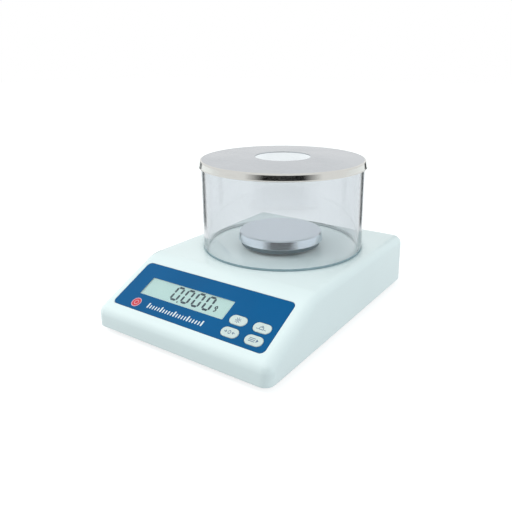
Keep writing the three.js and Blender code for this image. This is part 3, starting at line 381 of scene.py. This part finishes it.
FINISH_OF = {
    "upper_housing": "white", "base_plate": "grey", "panel_overlay": "blue", "display_window": "pane",
    "lcd_panel": "display", "lcd_frame": "black", "windshield_glass": "glass", "windshield_lid": "lid",
    "weighing_pan": "pan", "pan_support": "support", "load_cell": "aluminium", "cell_pedestal": "aluminium",
    "display_board": "board", "main_board": "board", "power_jack": "black", "power_switch": "black",
    "power_rocker": "black", "ribbon_cable": "cable", "gauge_leads": "cable", "power_leads": "rubber",
}
FINISH_BY_START = (("key_", "key"), ("foot_pad", "rubber"), ("pan_pad", "rubber"), ("foot_screw", "black"))


def finish_of(name):
    """The finish of a solid, found by its name. Screws, domes and other small steel pieces are zinc."""
    for start, finish in FINISH_BY_START:
        if name.startswith(start):
            return MATERIALS[finish]
    return MATERIALS[FINISH_OF.get(name, "zinc")]


SHARP_ANGLE = 32  # degrees
WELD_DISTANCE = 1e-6


def smooth_by_angle():
    """A modifier group that joins split corners and shades smooth over every edge but the sharp ones."""
    group = bpy.data.node_groups.new("smooth_by_angle", "GeometryNodeTree")
    for way in ("INPUT", "OUTPUT"):
        group.interface.new_socket("Geometry", in_out=way, socket_type="NodeSocketGeometry")
    steps = Nodes(group)
    start = steps.add("NodeGroupInput").outputs[0]
    welded = steps.add("GeometryNodeMergeByDistance", {"Geometry": start, "Distance": WELD_DISTANCE})
    faces = steps.add("GeometryNodeSetShadeSmooth", {"Geometry": welded.outputs["Geometry"]})
    angle = steps.add("GeometryNodeInputMeshEdgeAngle").outputs["Unsigned Angle"]
    gentle = steps.add("FunctionNodeCompare", {"A": angle, "B": math.radians(SHARP_ANGLE)},
                       operation="LESS_THAN")
    edges = steps.add("GeometryNodeSetShadeSmooth", {
        "Geometry": faces.outputs["Geometry"], "Shade Smooth": gentle.outputs["Result"]}, domain="EDGE")
    steps.add("NodeGroupOutput", {0: edges.outputs["Geometry"]})
    return group


SMOOTH = smooth_by_angle()


def smooth(piece):
    """Shades a piece smooth but for its sharp edges, and keeps its flat faces flat."""
    modifier = piece.modifiers.new("smooth", "NODES")
    modifier.node_group = SMOOTH
    weighted = piece.modifiers.new("flat_faces_first", "WEIGHTED_NORMAL")
    weighted.keep_sharp = True


for name, node in nodes.items():
    material = finish_of(name)
    if not node.material_slots:
        node.data.materials.append(material)
    for slot in node.material_slots:
        slot.material = material
    smooth(node)


# Turned pieces: the glass, its lid and the pan, as the solids are but with finer curves, in millimetres

GLASS_RADIUS = 76.2
GLASS_WALL = 4
GLASS_FOOT = 51.5
GLASS_TOP = 134.2
LID_RADIUS = 77.3
LID_FLARE = 0.6
LID_BEAD = 0.45
LID_SHEET = 0.8
LID_SKIRT = 6.7
LID_UNDER = 134.5
LID_EDGE = 1.5
LID_CROWN = 1.5  # the lid rises this much from its seat to its hole
LID_SEAT = 72.2  # the radius where the rise begins
LID_HOLE = 26
PAN_RADIUS = 39.3
PAN_FLARE = 1.1
PAN_SHEET = 1
PAN_HEIGHT = 8
PAN_TOP = 67.3
PAN_EDGE = 1.4
TURNED_SEGMENTS = 240
AXIS_REACH = 1e-6  # a profile's point that is nearer to the axis than this lies on it


def arc(x, z, radius, start, end, steps=8):
    """Points of an arc in a profile, its angles in degrees from straight out."""
    angles = [math.radians(start + (end - start) * i / steps) for i in range(steps + 1)]
    return [(x + radius * math.cos(angle), z + radius * math.sin(angle)) for angle in angles]


def turned(node, body, profile, axis, finishes, finish_at=None):
    """A closed profile of (radius, height) turned about an upright axis, in place of a plainer solid.

    finish_at tells which of the finishes each step of the profile has."""
    mesh = bmesh.new()
    turns = [2 * math.pi * i / TURNED_SEGMENTS for i in range(TURNED_SEGMENTS)]
    rings = []
    for radius, z in profile:
        if radius < AXIS_REACH:
            rings.append([mesh.verts.new((axis[0] * MM, axis[1] * MM, z * MM))] * TURNED_SEGMENTS)
            continue
        rings.append([mesh.verts.new((
            (axis[0] + radius * math.cos(turn)) * MM,
            (axis[1] + radius * math.sin(turn)) * MM,
            z * MM)) for turn in turns])
    open_profile = profile[0][0] < AXIS_REACH
    for i in range(len(profile) - open_profile):
        low, high = rings[i], rings[(i + 1) % len(rings)]
        for j in range(TURNED_SEGMENTS):
            k = (j + 1) % TURNED_SEGMENTS
            corners = list(dict.fromkeys((low[j], low[k], high[k], high[j])))
            face = mesh.faces.new(corners)
            face.material_index = finish_at(i) if finish_at else 0
    mesh.normal_update()
    piece = add_mesh(node + "_turned", mesh, finishes)
    smooth(piece)
    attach(piece, body)
    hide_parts(node)


def glass_profile():
    """A tube with a rounded top. Its lower end is ground flat, with a slope outside and a bevel inside."""
    inner = GLASS_RADIUS - GLASS_WALL
    outer_round, inner_round = 0.8, 0.3
    bevel = 0.7
    slope_depth, slope_height = 0.4, 2.3
    return [
        (inner, GLASS_FOOT + bevel),
        (inner + bevel, GLASS_FOOT),
        (GLASS_RADIUS - slope_depth, GLASS_FOOT),
        (GLASS_RADIUS, GLASS_FOOT + slope_height),
        *arc(GLASS_RADIUS - outer_round, GLASS_TOP - outer_round, outer_round, 0, 90, 6),
        *arc(inner + inner_round, GLASS_TOP - inner_round, inner_round, 90, 180, 4)]


def lid_profile():
    """Pressed sheet: a flared skirt with a bead, a round edge, a fine line pressed in, and the hole's rim."""
    top = LID_UNDER + LID_SHEET
    low = top - LID_SKIRT
    bend, height = LID_RADIUS - LID_EDGE, top - LID_EDGE
    mouth = LID_RADIUS + LID_FLARE
    bead_round, bead_height, above_bead = 0.3, 0.5, 1
    line = 0.2
    rim_round, rim_width, rim_drop = 0.3, 0.8, 0.02
    return [
        (mouth - LID_SHEET, low),
        *arc(mouth + LID_BEAD - bead_round, low + bead_round, bead_round, 270, 360, 4),
        (mouth + LID_BEAD, low + bead_height),
        (mouth, low + above_bead),
        *arc(bend, height, LID_EDGE, 0, 90),
        (bend - line, top),
        (bend - 2 * line, top - line),
        (bend - 3 * line, top),
        (LID_SEAT, top),
        (LID_HOLE + rim_width, top + LID_CROWN - rim_drop),
        *arc(LID_HOLE + rim_round, top + LID_CROWN - rim_round, rim_round, 90, 180, 4),
        (LID_HOLE, LID_UNDER + LID_CROWN),
        (LID_SEAT, LID_UNDER),
        *arc(bend, height, LID_EDGE - LID_SHEET, 90, 0)]


def pan_profile():
    """A shallow pressed cup, upside down, whose skirt flares."""
    low = PAN_TOP - PAN_HEIGHT
    bend, height = PAN_RADIUS - PAN_EDGE, PAN_TOP - PAN_EDGE
    mouth = PAN_RADIUS + PAN_FLARE
    lip = 0.2
    beside_bend = 0.4
    return [
        (0, PAN_TOP - PAN_SHEET),
        *arc(bend, height, PAN_EDGE - PAN_SHEET, 90, 0, 4),
        (mouth - PAN_SHEET, low),
        *arc(mouth - lip, low + lip, lip, 270, 360, 4),
        *arc(bend, height, PAN_EDGE, 0, 90),
        (bend - beside_bend, PAN_TOP),
        (0, PAN_TOP)]


GROUND_PATCH = srgb(104, 124, 132)


def ground_edge(name, outside, inside, cover=1.0):
    """Ground glass: one colour where it is seen from outside, another where it is seen through the glass.

    cover is the share of what stands behind it that is hidden where it is seen through the glass."""
    s = Surface(name, specular_ior_level=0.4)
    through = s.add("ShaderNodeNewGeometry").outputs["Backfacing"]
    patches = s.mix(s.ramp(s.noise(260, 3), 0.35, 0.65, 0, 0.25), outside, GROUND_PATCH)
    base = s.mix(through, patches, inside)
    s.set(s.shader.inputs["Alpha"], s.ramp(through, 0, 1, 1, cover))
    s.bump(s.noise(2400, 2), 0.00003)
    return s.finish(base, s.varied(s.noise(90, 2), 0.5, 0.65))


# painted shade and light on the glass's foot: the slate outside paints the dark band of refraction and
# contact shadow there; the near-white, half see-through inside paints light over the slope's own shade where
# it is seen through the glass
MATERIALS["glass_slope"] = ground_edge("glass_slope_painted_shade_and_light", srgb(146, 168, 176), srgb(250, 254, 254),
                                       cover=0.45)
MATERIALS["glass_end"] = ground_edge("ground_glass_end", srgb(206, 219, 220), srgb(198, 213, 215))
GLASS_FINISHES = [MATERIALS[name] for name in ("glass", "glass_end", "glass_slope")]
GLASS_FINISH_AT = {0: 1, 1: 1, 2: 2}  # the profile's first steps are ground, the others are clear
LID_FINISHES = [MATERIALS[name] for name in ("lid_skirt", "lid", "lid_inside")]
LID_TOP_FROM, LID_INSIDE_FROM = 17, 27  # the lid profile's steps where its top and its underside begin


def glass_finish(step):
    return GLASS_FINISH_AT.get(step, 0)


def lid_finish(step):
    return int(step >= LID_TOP_FROM) + int(step >= LID_INSIDE_FROM)


turned("windshield_glass", "windshield", glass_profile(), SHIELD_AXIS, GLASS_FINISHES, glass_finish)
turned("windshield_lid", "lid", lid_profile(), SHIELD_AXIS, LID_FINISHES, lid_finish)
turned("weighing_pan", "pan", pan_profile(), PAN_AXIS, [MATERIALS["pan"]])


# Printed marks, drawn flat in millimetres and given a thickness

INK_THICKNESS = 0.03


class Print:
    """Flat marks that are given a thickness and laid on a surface."""

    def __init__(self):
        self.mesh = bmesh.new()

    def polygon(self, points):
        """A filled outline, anticlockwise."""
        low = [self.mesh.verts.new((x, y, 0)) for x, y in points]
        high = [self.mesh.verts.new((x, y, INK_THICKNESS)) for x, y in points]
        self.mesh.faces.new(high)
        self.mesh.faces.new(low[::-1])
        for i, corner in enumerate(low):
            after = (i + 1) % len(low)
            self.mesh.faces.new((corner, low[after], high[after], high[i]))

    def ring(self, x, y, outer, inner, steps=40, squeeze=1.0):
        """A ring, or an oval where squeeze is not 1."""
        loops = []
        for height in (0, INK_THICKNESS):
            for radius in (outer, inner):
                loops.append([self.mesh.verts.new((
                    x + squeeze * radius * math.cos(2 * math.pi * i / steps),
                    y + radius * math.sin(2 * math.pi * i / steps), height)) for i in range(steps)])
        low_out, low_in, high_out, high_in = loops
        for i in range(steps):
            j = (i + 1) % steps
            self.mesh.faces.new((high_out[i], high_out[j], high_in[j], high_in[i]))
            self.mesh.faces.new((low_in[i], low_in[j], low_out[j], low_out[i]))
            self.mesh.faces.new((low_out[i], low_out[j], high_out[j], high_out[i]))
            self.mesh.faces.new((low_in[j], low_in[i], high_in[i], high_in[j]))

    def disc(self, x, y, radius, steps=32):
        self.polygon([(x + radius * math.cos(2 * math.pi * i / steps),
                       y + radius * math.sin(2 * math.pi * i / steps)) for i in range(steps)])

    def bar(self, x0, y0, x1, y1, width):
        """A straight stroke with round ends."""
        along = Vector((x1 - x0, y1 - y0)).normalized()
        start = math.atan2(along.y, along.x)
        points = []
        end_steps = 6
        for x, y, turn in ((x1, y1, -math.pi / 2), (x0, y0, math.pi / 2)):
            for i in range(end_steps + 1):
                angle = start + turn + math.pi * i / end_steps
                points.append((x + width / 2 * math.cos(angle), y + width / 2 * math.sin(angle)))
        self.polygon(points)

    def segment(self, x0, y0, x1, y1, width):
        """A display segment: a straight bar with pointed ends."""
        along = Vector((x1 - x0, y1 - y0)).normalized()
        side = Vector((-along.y, along.x)) * width / 2
        tip = along * width / 2
        a, b = Vector((x0, y0)), Vector((x1, y1))
        points = [a, a + tip - side, b - tip - side, b, b - tip + side, a + tip + side]
        self.polygon([tuple(point) for point in points])

    def make(self, name, matrix, material, body):
        """Lays the marks where matrix says, as one piece that moves with body."""
        self.mesh.normal_update()
        piece = add_mesh(name, self.mesh, [material])
        piece.data.transform(matrix @ Matrix.Scale(MM, 4))
        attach(piece, body)


def slope_at(x=0.0, y=0.0, height=0.0):
    """Places what is drawn in X and Y on the slope, height millimetres out of its face."""
    origin = Matrix.Translation((0, -BODY_DEPTH / 2 * MM, SLOPE_FOOT * MM))
    turn = Matrix.Rotation(SLOPE_ANGLE, 4, "X")
    return origin @ turn @ Matrix.Translation((x * MM, y * MM, height * MM))


# Display figures: 0.000 and a g for the unit

SEGMENT_WIDTH = 2.05
SEGMENT_GAP = 0.12  # as a share of the width
FIGURE_COUNT = 4
FIGURE_WIDTH = 8.4
FIGURE_HEIGHT = 15.0
FIGURE_PITCH = 11.4
FIGURE_LEFT = -29.9
FIGURE_FOOT = 29.7
POINT_RADIUS = 0.75
POINT_DROP = 0.2
UNIT_LEFT = 15.6
UNIT_FOOT = 31.2
UNIT_WIDTH = 3.2
UNIT_HEIGHT = 6.2
UNIT_STROKE = 1.25
UNIT_GAP = 0.1


def draw_zero(marks, left, foot):
    """A nought made of six display segments."""
    gap = SEGMENT_WIDTH * SEGMENT_GAP
    inner = SEGMENT_WIDTH / 2
    x0, x1 = left + inner, left + FIGURE_WIDTH - inner
    y0, y1, middle = foot + inner, foot + FIGURE_HEIGHT - inner, foot + FIGURE_HEIGHT / 2
    for y in (y0, y1):
        marks.segment(x0 + gap, y, x1 - gap, y, SEGMENT_WIDTH)
    for x in (x0, x1):
        marks.segment(x, y0 + gap, x, middle - gap, SEGMENT_WIDTH)
        marks.segment(x, middle + gap, x, y1 - gap, SEGMENT_WIDTH)


def draw_figures(marks):
    for i in range(FIGURE_COUNT):
        draw_zero(marks, FIGURE_LEFT + i * FIGURE_PITCH, FIGURE_FOOT)
    between = FIGURE_LEFT + FIGURE_WIDTH + (FIGURE_PITCH - FIGURE_WIDTH) / 2
    marks.disc(between, FIGURE_FOOT - POINT_DROP, POINT_RADIUS)


def draw_unit(marks):
    """A g made of six display segments."""
    left, right = UNIT_LEFT + UNIT_STROKE / 2, UNIT_LEFT + UNIT_WIDTH - UNIT_STROKE / 2
    top, foot = UNIT_FOOT + UNIT_HEIGHT - UNIT_STROKE / 2, UNIT_FOOT + UNIT_STROKE / 2
    middle = (top + foot) / 2
    for y in (top, middle, foot):
        marks.segment(left, y, right, y, UNIT_STROKE)
    for x, low, high in ((left, middle, top), (right, middle, top), (right, foot, middle)):
        marks.segment(x, low + UNIT_GAP, x, high - UNIT_GAP, UNIT_STROKE)


# Panel marks: a level sign and a plain graduated rule

LEVEL_X, LEVEL_Y = -55.6, 17.2
LEVEL_RINGS = ((4.6, 4.0), (2.2, 1.7))  # outer and inner radius
LEVEL_FIELD = (4.0, 2.2)
LEVEL_BUBBLE = 1.7
RULE_LEFT, RULE_RIGHT, RULE_FOOT = -41.6, 16.2, 15.9
RULE_STEPS = 20
RULE_LONG_EVERY = 5
LONG_TICK = (3.9, 1.5)  # length and width
SHORT_TICK = (2.5, 1.2)


def draw_level_rings(marks):
    for outer, inner in LEVEL_RINGS:
        marks.ring(0, 0, outer, inner)


def draw_level(marks):
    marks.ring(0, 0, *LEVEL_FIELD)
    marks.disc(0, 0, LEVEL_BUBBLE)


def draw_rule(marks):
    for i in range(RULE_STEPS + 1):
        x = RULE_LEFT + (RULE_RIGHT - RULE_LEFT) * i / RULE_STEPS
        length, width = SHORT_TICK if i % RULE_LONG_EVERY else LONG_TICK
        marks.bar(x, RULE_FOOT, x, RULE_FOOT + length, width)


# Key signs: a lamp, a weight, set to nought, and step through a list

SIGN_STROKE = 0.5


def draw_lamp(marks):
    """A small ring with rays."""
    rays, ray_from, ray_to = 8, 1.75, 2.5
    marks.ring(0, 0, outer=1.2, inner=0.65, steps=28)
    for i in range(rays):
        angle = 2 * math.pi * i / rays
        x, y = math.cos(angle), math.sin(angle)
        marks.bar(ray_from * x, ray_from * y, ray_to * x, ray_to * y, SIGN_STROKE)


def draw_weight(marks):
    """The outline of a weight with a ring to lift it by, on a base line."""
    corners = [(-2.0, -1.6), (2.0, -1.6), (1.4, 0.5), (-1.4, 0.5)]
    line_y, line_from, line_to = -1.55, 2.9, 4.1
    for i, corner in enumerate(corners):
        marks.bar(*corner, *corners[(i + 1) % len(corners)], SIGN_STROKE)
    marks.ring(0, 1.1, outer=0.85, inner=0.4, steps=24)
    for side in (-1, 1):
        marks.bar(side * line_from, line_y, side * line_to, line_y, SIGN_STROKE)


def draw_set_to_nought(marks):
    """A nought between two arrows that point at it."""
    tail, tip, barb, spread = 4.9, 2.6, 3.5, 0.95
    marks.ring(0, 0, outer=1.7, inner=1.1, steps=32, squeeze=0.75)
    for side in (-1, 1):
        marks.bar(side * tail, 0, side * tip, 0, SIGN_STROKE)
        for lean in (-1, 1):
            marks.bar(side * tip, 0, side * barb, lean * spread, SIGN_STROKE)


def draw_list(marks):
    """Three lines and a pointer."""
    left, right, pitch, stroke = -4.0, 1.2, 1.35, 0.55
    for row in (-1, 0, 1):
        marks.bar(left, row * pitch, right, row * pitch, stroke)
    marks.polygon([(2.4, -1.5), (4.3, 0), (2.4, 1.5)])


# Rocker marks: a bar on the pressed wing and a ring on the raised one

ROCKER_PINS = (-41, 117.5, 27)
ROCKER_DIP = 1.2  # the pins to the middle of the rocker's face
ROCKER_TILT = 12  # how far the rocker is tipped at rest, in degrees
WING_RISE = 11.6  # how steeply each wing rises from the middle to its tip, in degrees
MARK_FROM_MIDDLE = 4.3
BAR_MARK_HALF, BAR_MARK_STROKE = 1.5, 0.6
RING_MARK = (1.7, 1.15)  # outer and inner radius


def rocker_wing(side):
    """Places what is drawn in X and Y on one wing of the rocker, seen from behind the balance."""
    tilt, rise = math.radians(ROCKER_TILT), side * math.radians(WING_RISE + side * ROCKER_TILT)
    along = Vector((math.cos(rise), math.sin(rise), 0))
    middle = Vector(ROCKER_PINS) + Vector((-math.sin(tilt), math.cos(tilt), 0)) * ROCKER_DIP
    across, out = Vector((0, 0, 1)), Vector((-along.y, along.x, 0))
    turn = Matrix((-along, across, out)).transposed().to_4x4()
    return Matrix.Translation((middle + along * side * MARK_FROM_MIDDLE) * MM) @ turn


def draw_bar_mark(marks):
    marks.bar(0, -BAR_MARK_HALF, 0, BAR_MARK_HALF, BAR_MARK_STROKE)


def draw_ring_mark(marks):
    marks.ring(0, 0, *RING_MARK)


ON_DISPLAY = slope_at(height=LCD_FACE)
ON_LEVEL_PLACE = slope_at(LEVEL_X, LEVEL_Y)
ON_KEY = {name: slope_at(x, y, KEY_FACE) for name, (x, y) in KEYS.items()}
PRINTS = (
    ("display_figures", draw_figures, ON_DISPLAY, "segment", "base"),
    ("display_unit", draw_unit, ON_DISPLAY, "segment", "base"),
    ("level_sign_rings", draw_level_rings, ON_LEVEL_PLACE, "rose", "base"),
    ("level_sign", draw_level, ON_LEVEL_PLACE, "red", "base"),
    ("panel_rule", draw_rule, slope_at(), "white", "base"),
    ("key_backlight_sign", draw_lamp, ON_KEY["key_backlight"], "slate", "key_backlight"),
    ("key_cal_sign", draw_weight, ON_KEY["key_cal"], "slate", "key_cal"),
    ("key_tare_sign", draw_set_to_nought, ON_KEY["key_tare"], "slate", "key_tare"),
    ("key_mode_sign", draw_list, ON_KEY["key_mode"], "slate", "key_mode"),
    ("rocker_bar", draw_bar_mark, rocker_wing(-1), "white", "rocker"),
    ("rocker_ring", draw_ring_mark, rocker_wing(1), "white", "rocker"),
)
for name, draw, matrix, color, body in PRINTS:
    marks = Print()
    draw(marks)
    marks.make(name, matrix, INKS[color], body)


# Studio: a pale floor, even light, two soft lamps, and dark cards that only reflections show

WHITE = (1, 1, 1, 1)
LEVEL_AT_HORIZON, LEVEL_HALF_WAY, LEVEL_OVERHEAD = 0.52, 1.04, 0.4
HALF_WAY_BELOW, OVERHEAD_FROM = 0.45, 0.6  # the rise of a direction, 0 level and 1 straight up
COLOR_AT_HORIZON, COLOR_OVERHEAD = (0.86, 0.97, 1.0, 1), (0.96, 0.99, 0.96, 1)
FLOOR_REACH = 6
FLOOR_LIFT = 0.78
FLOOR_DARK, FLOOR_LIGHT = (0.34, 0.36, 0.37, 1), (0.36, 0.38, 0.39, 1)


def make_floor():
    """A matt floor that takes the shadow, and is white to the eye where no shadow falls."""
    s = Surface("studio_floor", specular_ior_level=0.0, emission_color=WHITE)
    base = s.mix(s.ramp(s.noise(3, 3), 0.35, 0.65), FLOOR_DARK, FLOOR_LIGHT)
    s.set(s.shader.inputs["Emission Strength"], s.math("MULTIPLY", s.seen(), FLOOR_LIFT))
    s.finish(base, s.varied(s.noise(8, 2), 0.8, 0.9))
    mesh = bmesh.new()
    bmesh.ops.create_grid(mesh, x_segments=8, y_segments=8, size=FLOOR_REACH)
    floor = add_mesh("floor", mesh, [s.material])


def make_world():
    """White to the eye, also in mirrors and through glass; to all else an even, slightly cool studio."""
    world = bpy.data.worlds.new("studio")
    bpy.context.scene.world = world
    world.use_nodes = True
    world.node_tree.nodes.clear()
    sky = Nodes(world.node_tree)
    place = sky.add("ShaderNodeTexCoord").outputs["Generated"]
    up = sky.add("ShaderNodeSeparateXYZ", {"Vector": place}).outputs["Z"]
    low = sky.ramp(up, 0, HALF_WAY_BELOW, LEVEL_AT_HORIZON, LEVEL_HALF_WAY, "SMOOTHSTEP")
    level = sky.ramp(up, OVERHEAD_FROM, 1, low, LEVEL_OVERHEAD, "SMOOTHSTEP")
    tone = sky.mix(up, COLOR_AT_HORIZON, COLOR_OVERHEAD)
    light = sky.add("ShaderNodeBackground", {"Color": tone, "Strength": level})
    white = sky.add("ShaderNodeBackground", {"Color": WHITE, "Strength": 1})
    both = sky.add("ShaderNodeMixShader", {0: sky.seen(), 1: light.outputs[0], 2: white.outputs[0]})
    sky.add("ShaderNodeOutputWorld", {"Surface": both.outputs[0]})


def make_lamp(name, bearing, elevation, distance, size, level, color):
    """A round soft lamp; level is the light it throws square on, where 1 shows a colour as it is written."""
    away = towards(bearing, elevation)
    data = bpy.data.lights.new(name, "AREA")
    data.shape = "DISK"
    data.size = size
    data.energy = level * math.pi ** 2 * distance ** 2
    data.color = color
    lamp = add_object(name, data)
    lamp.location = away * distance
    lamp.rotation_euler = away.to_track_quat("Z", "Y").to_euler()
    lamp.visible_glossy = False
    lamp.visible_transmission = False


def card_cloth(name, shade, solid):
    """Dark cloth that only reflections show. solid is the share of its width between its soft sides."""
    s = Surface(name, specular_ior_level=0.0)
    place = s.add("ShaderNodeSeparateXYZ", {"Vector": s.add("ShaderNodeUVMap", uv_map="card").outputs["UV"]})
    off = s.math("ABSOLUTE", s.math("SUBTRACT", place.outputs["X"], 0.5))
    sides = s.ramp(off, solid / 2, 0.5, 1, 0)
    foot, head = s.ramp(place.outputs["Y"], 0.0, 0.1), s.ramp(place.outputs["Y"], 0.88, 1.0, 1, 0)
    cover = s.math("MULTIPLY", sides, s.math("MULTIPLY", foot, head))
    cloth = s.mix(s.noise(900, 2), (shade,) * 3 + (1,), (shade * 1.4,) * 3 + (1,))
    mirrored = s.math("MINIMUM", s.add("ShaderNodeLightPath").outputs["Glossy Depth"], 1.0)
    s.set(s.shader.inputs["Alpha"], s.math("MULTIPLY", cover, mirrored))
    return s.finish(cloth, 0.95)


def make_flag(name, bearing, distance, width, low, high, shade=0.006, solid=0.76):
    """A dark upright card, width degrees wide and bent about the windshield's axis."""
    steps = 24
    mesh = bmesh.new()
    across = mesh.loops.layers.uv.new("card")
    rows = []
    for height in (low, high):
        row = []
        for i in range(steps + 1):
            angle = math.radians(bearing + width * (i / steps - 0.5))
            x, y = distance * math.sin(angle), SHIELD_AXIS[1] * MM - distance * math.cos(angle)
            row.append(mesh.verts.new((x, y, height)))
        rows.append(row)
    for i in range(steps):
        face = mesh.faces.new((rows[0][i], rows[0][i + 1], rows[1][i + 1], rows[1][i]))
        for loop, (u, v) in zip(face.loops, ((i, 0), (i + 1, 0), (i + 1, 1), (i, 1))):
            loop[across].uv = (u / steps, v)
    flag = add_mesh(name, mesh, [card_cloth("studio_" + name, shade, solid)])
    flag.visible_camera = False
    flag.visible_diffuse = False
    flag.visible_shadow = False


FRONT_FLAG_BEARING = 33.6
SIDE_FLAG_TURN = 131  # the side cards stand this many degrees round from the front one
SIDE_FLAG = {"distance": 0.25, "width": 13, "low": 0.0, "high": 0.17}

make_floor()
make_world()
make_lamp("key_light", bearing=-60, elevation=40, distance=2.5, size=1.6, level=0.43, color=(1.0, 0.99, 0.95))
make_lamp("side_light", bearing=100, elevation=25, distance=2.5, size=2.0, level=0.25, color=(0.97, 1.0, 1.0))
make_flag("front_flag", FRONT_FLAG_BEARING, distance=0.42, width=94, low=0.0, high=0.19, solid=0.5)
make_flag("left_flag", FRONT_FLAG_BEARING - SIDE_FLAG_TURN, **SIDE_FLAG, shade=0.22)
make_flag("right_flag", FRONT_FLAG_BEARING + SIDE_FLAG_TURN, **SIDE_FLAG, shade=0.1)

bpy.context.scene.view_settings.view_transform = "Standard"
bpy.context.view_layer.update()
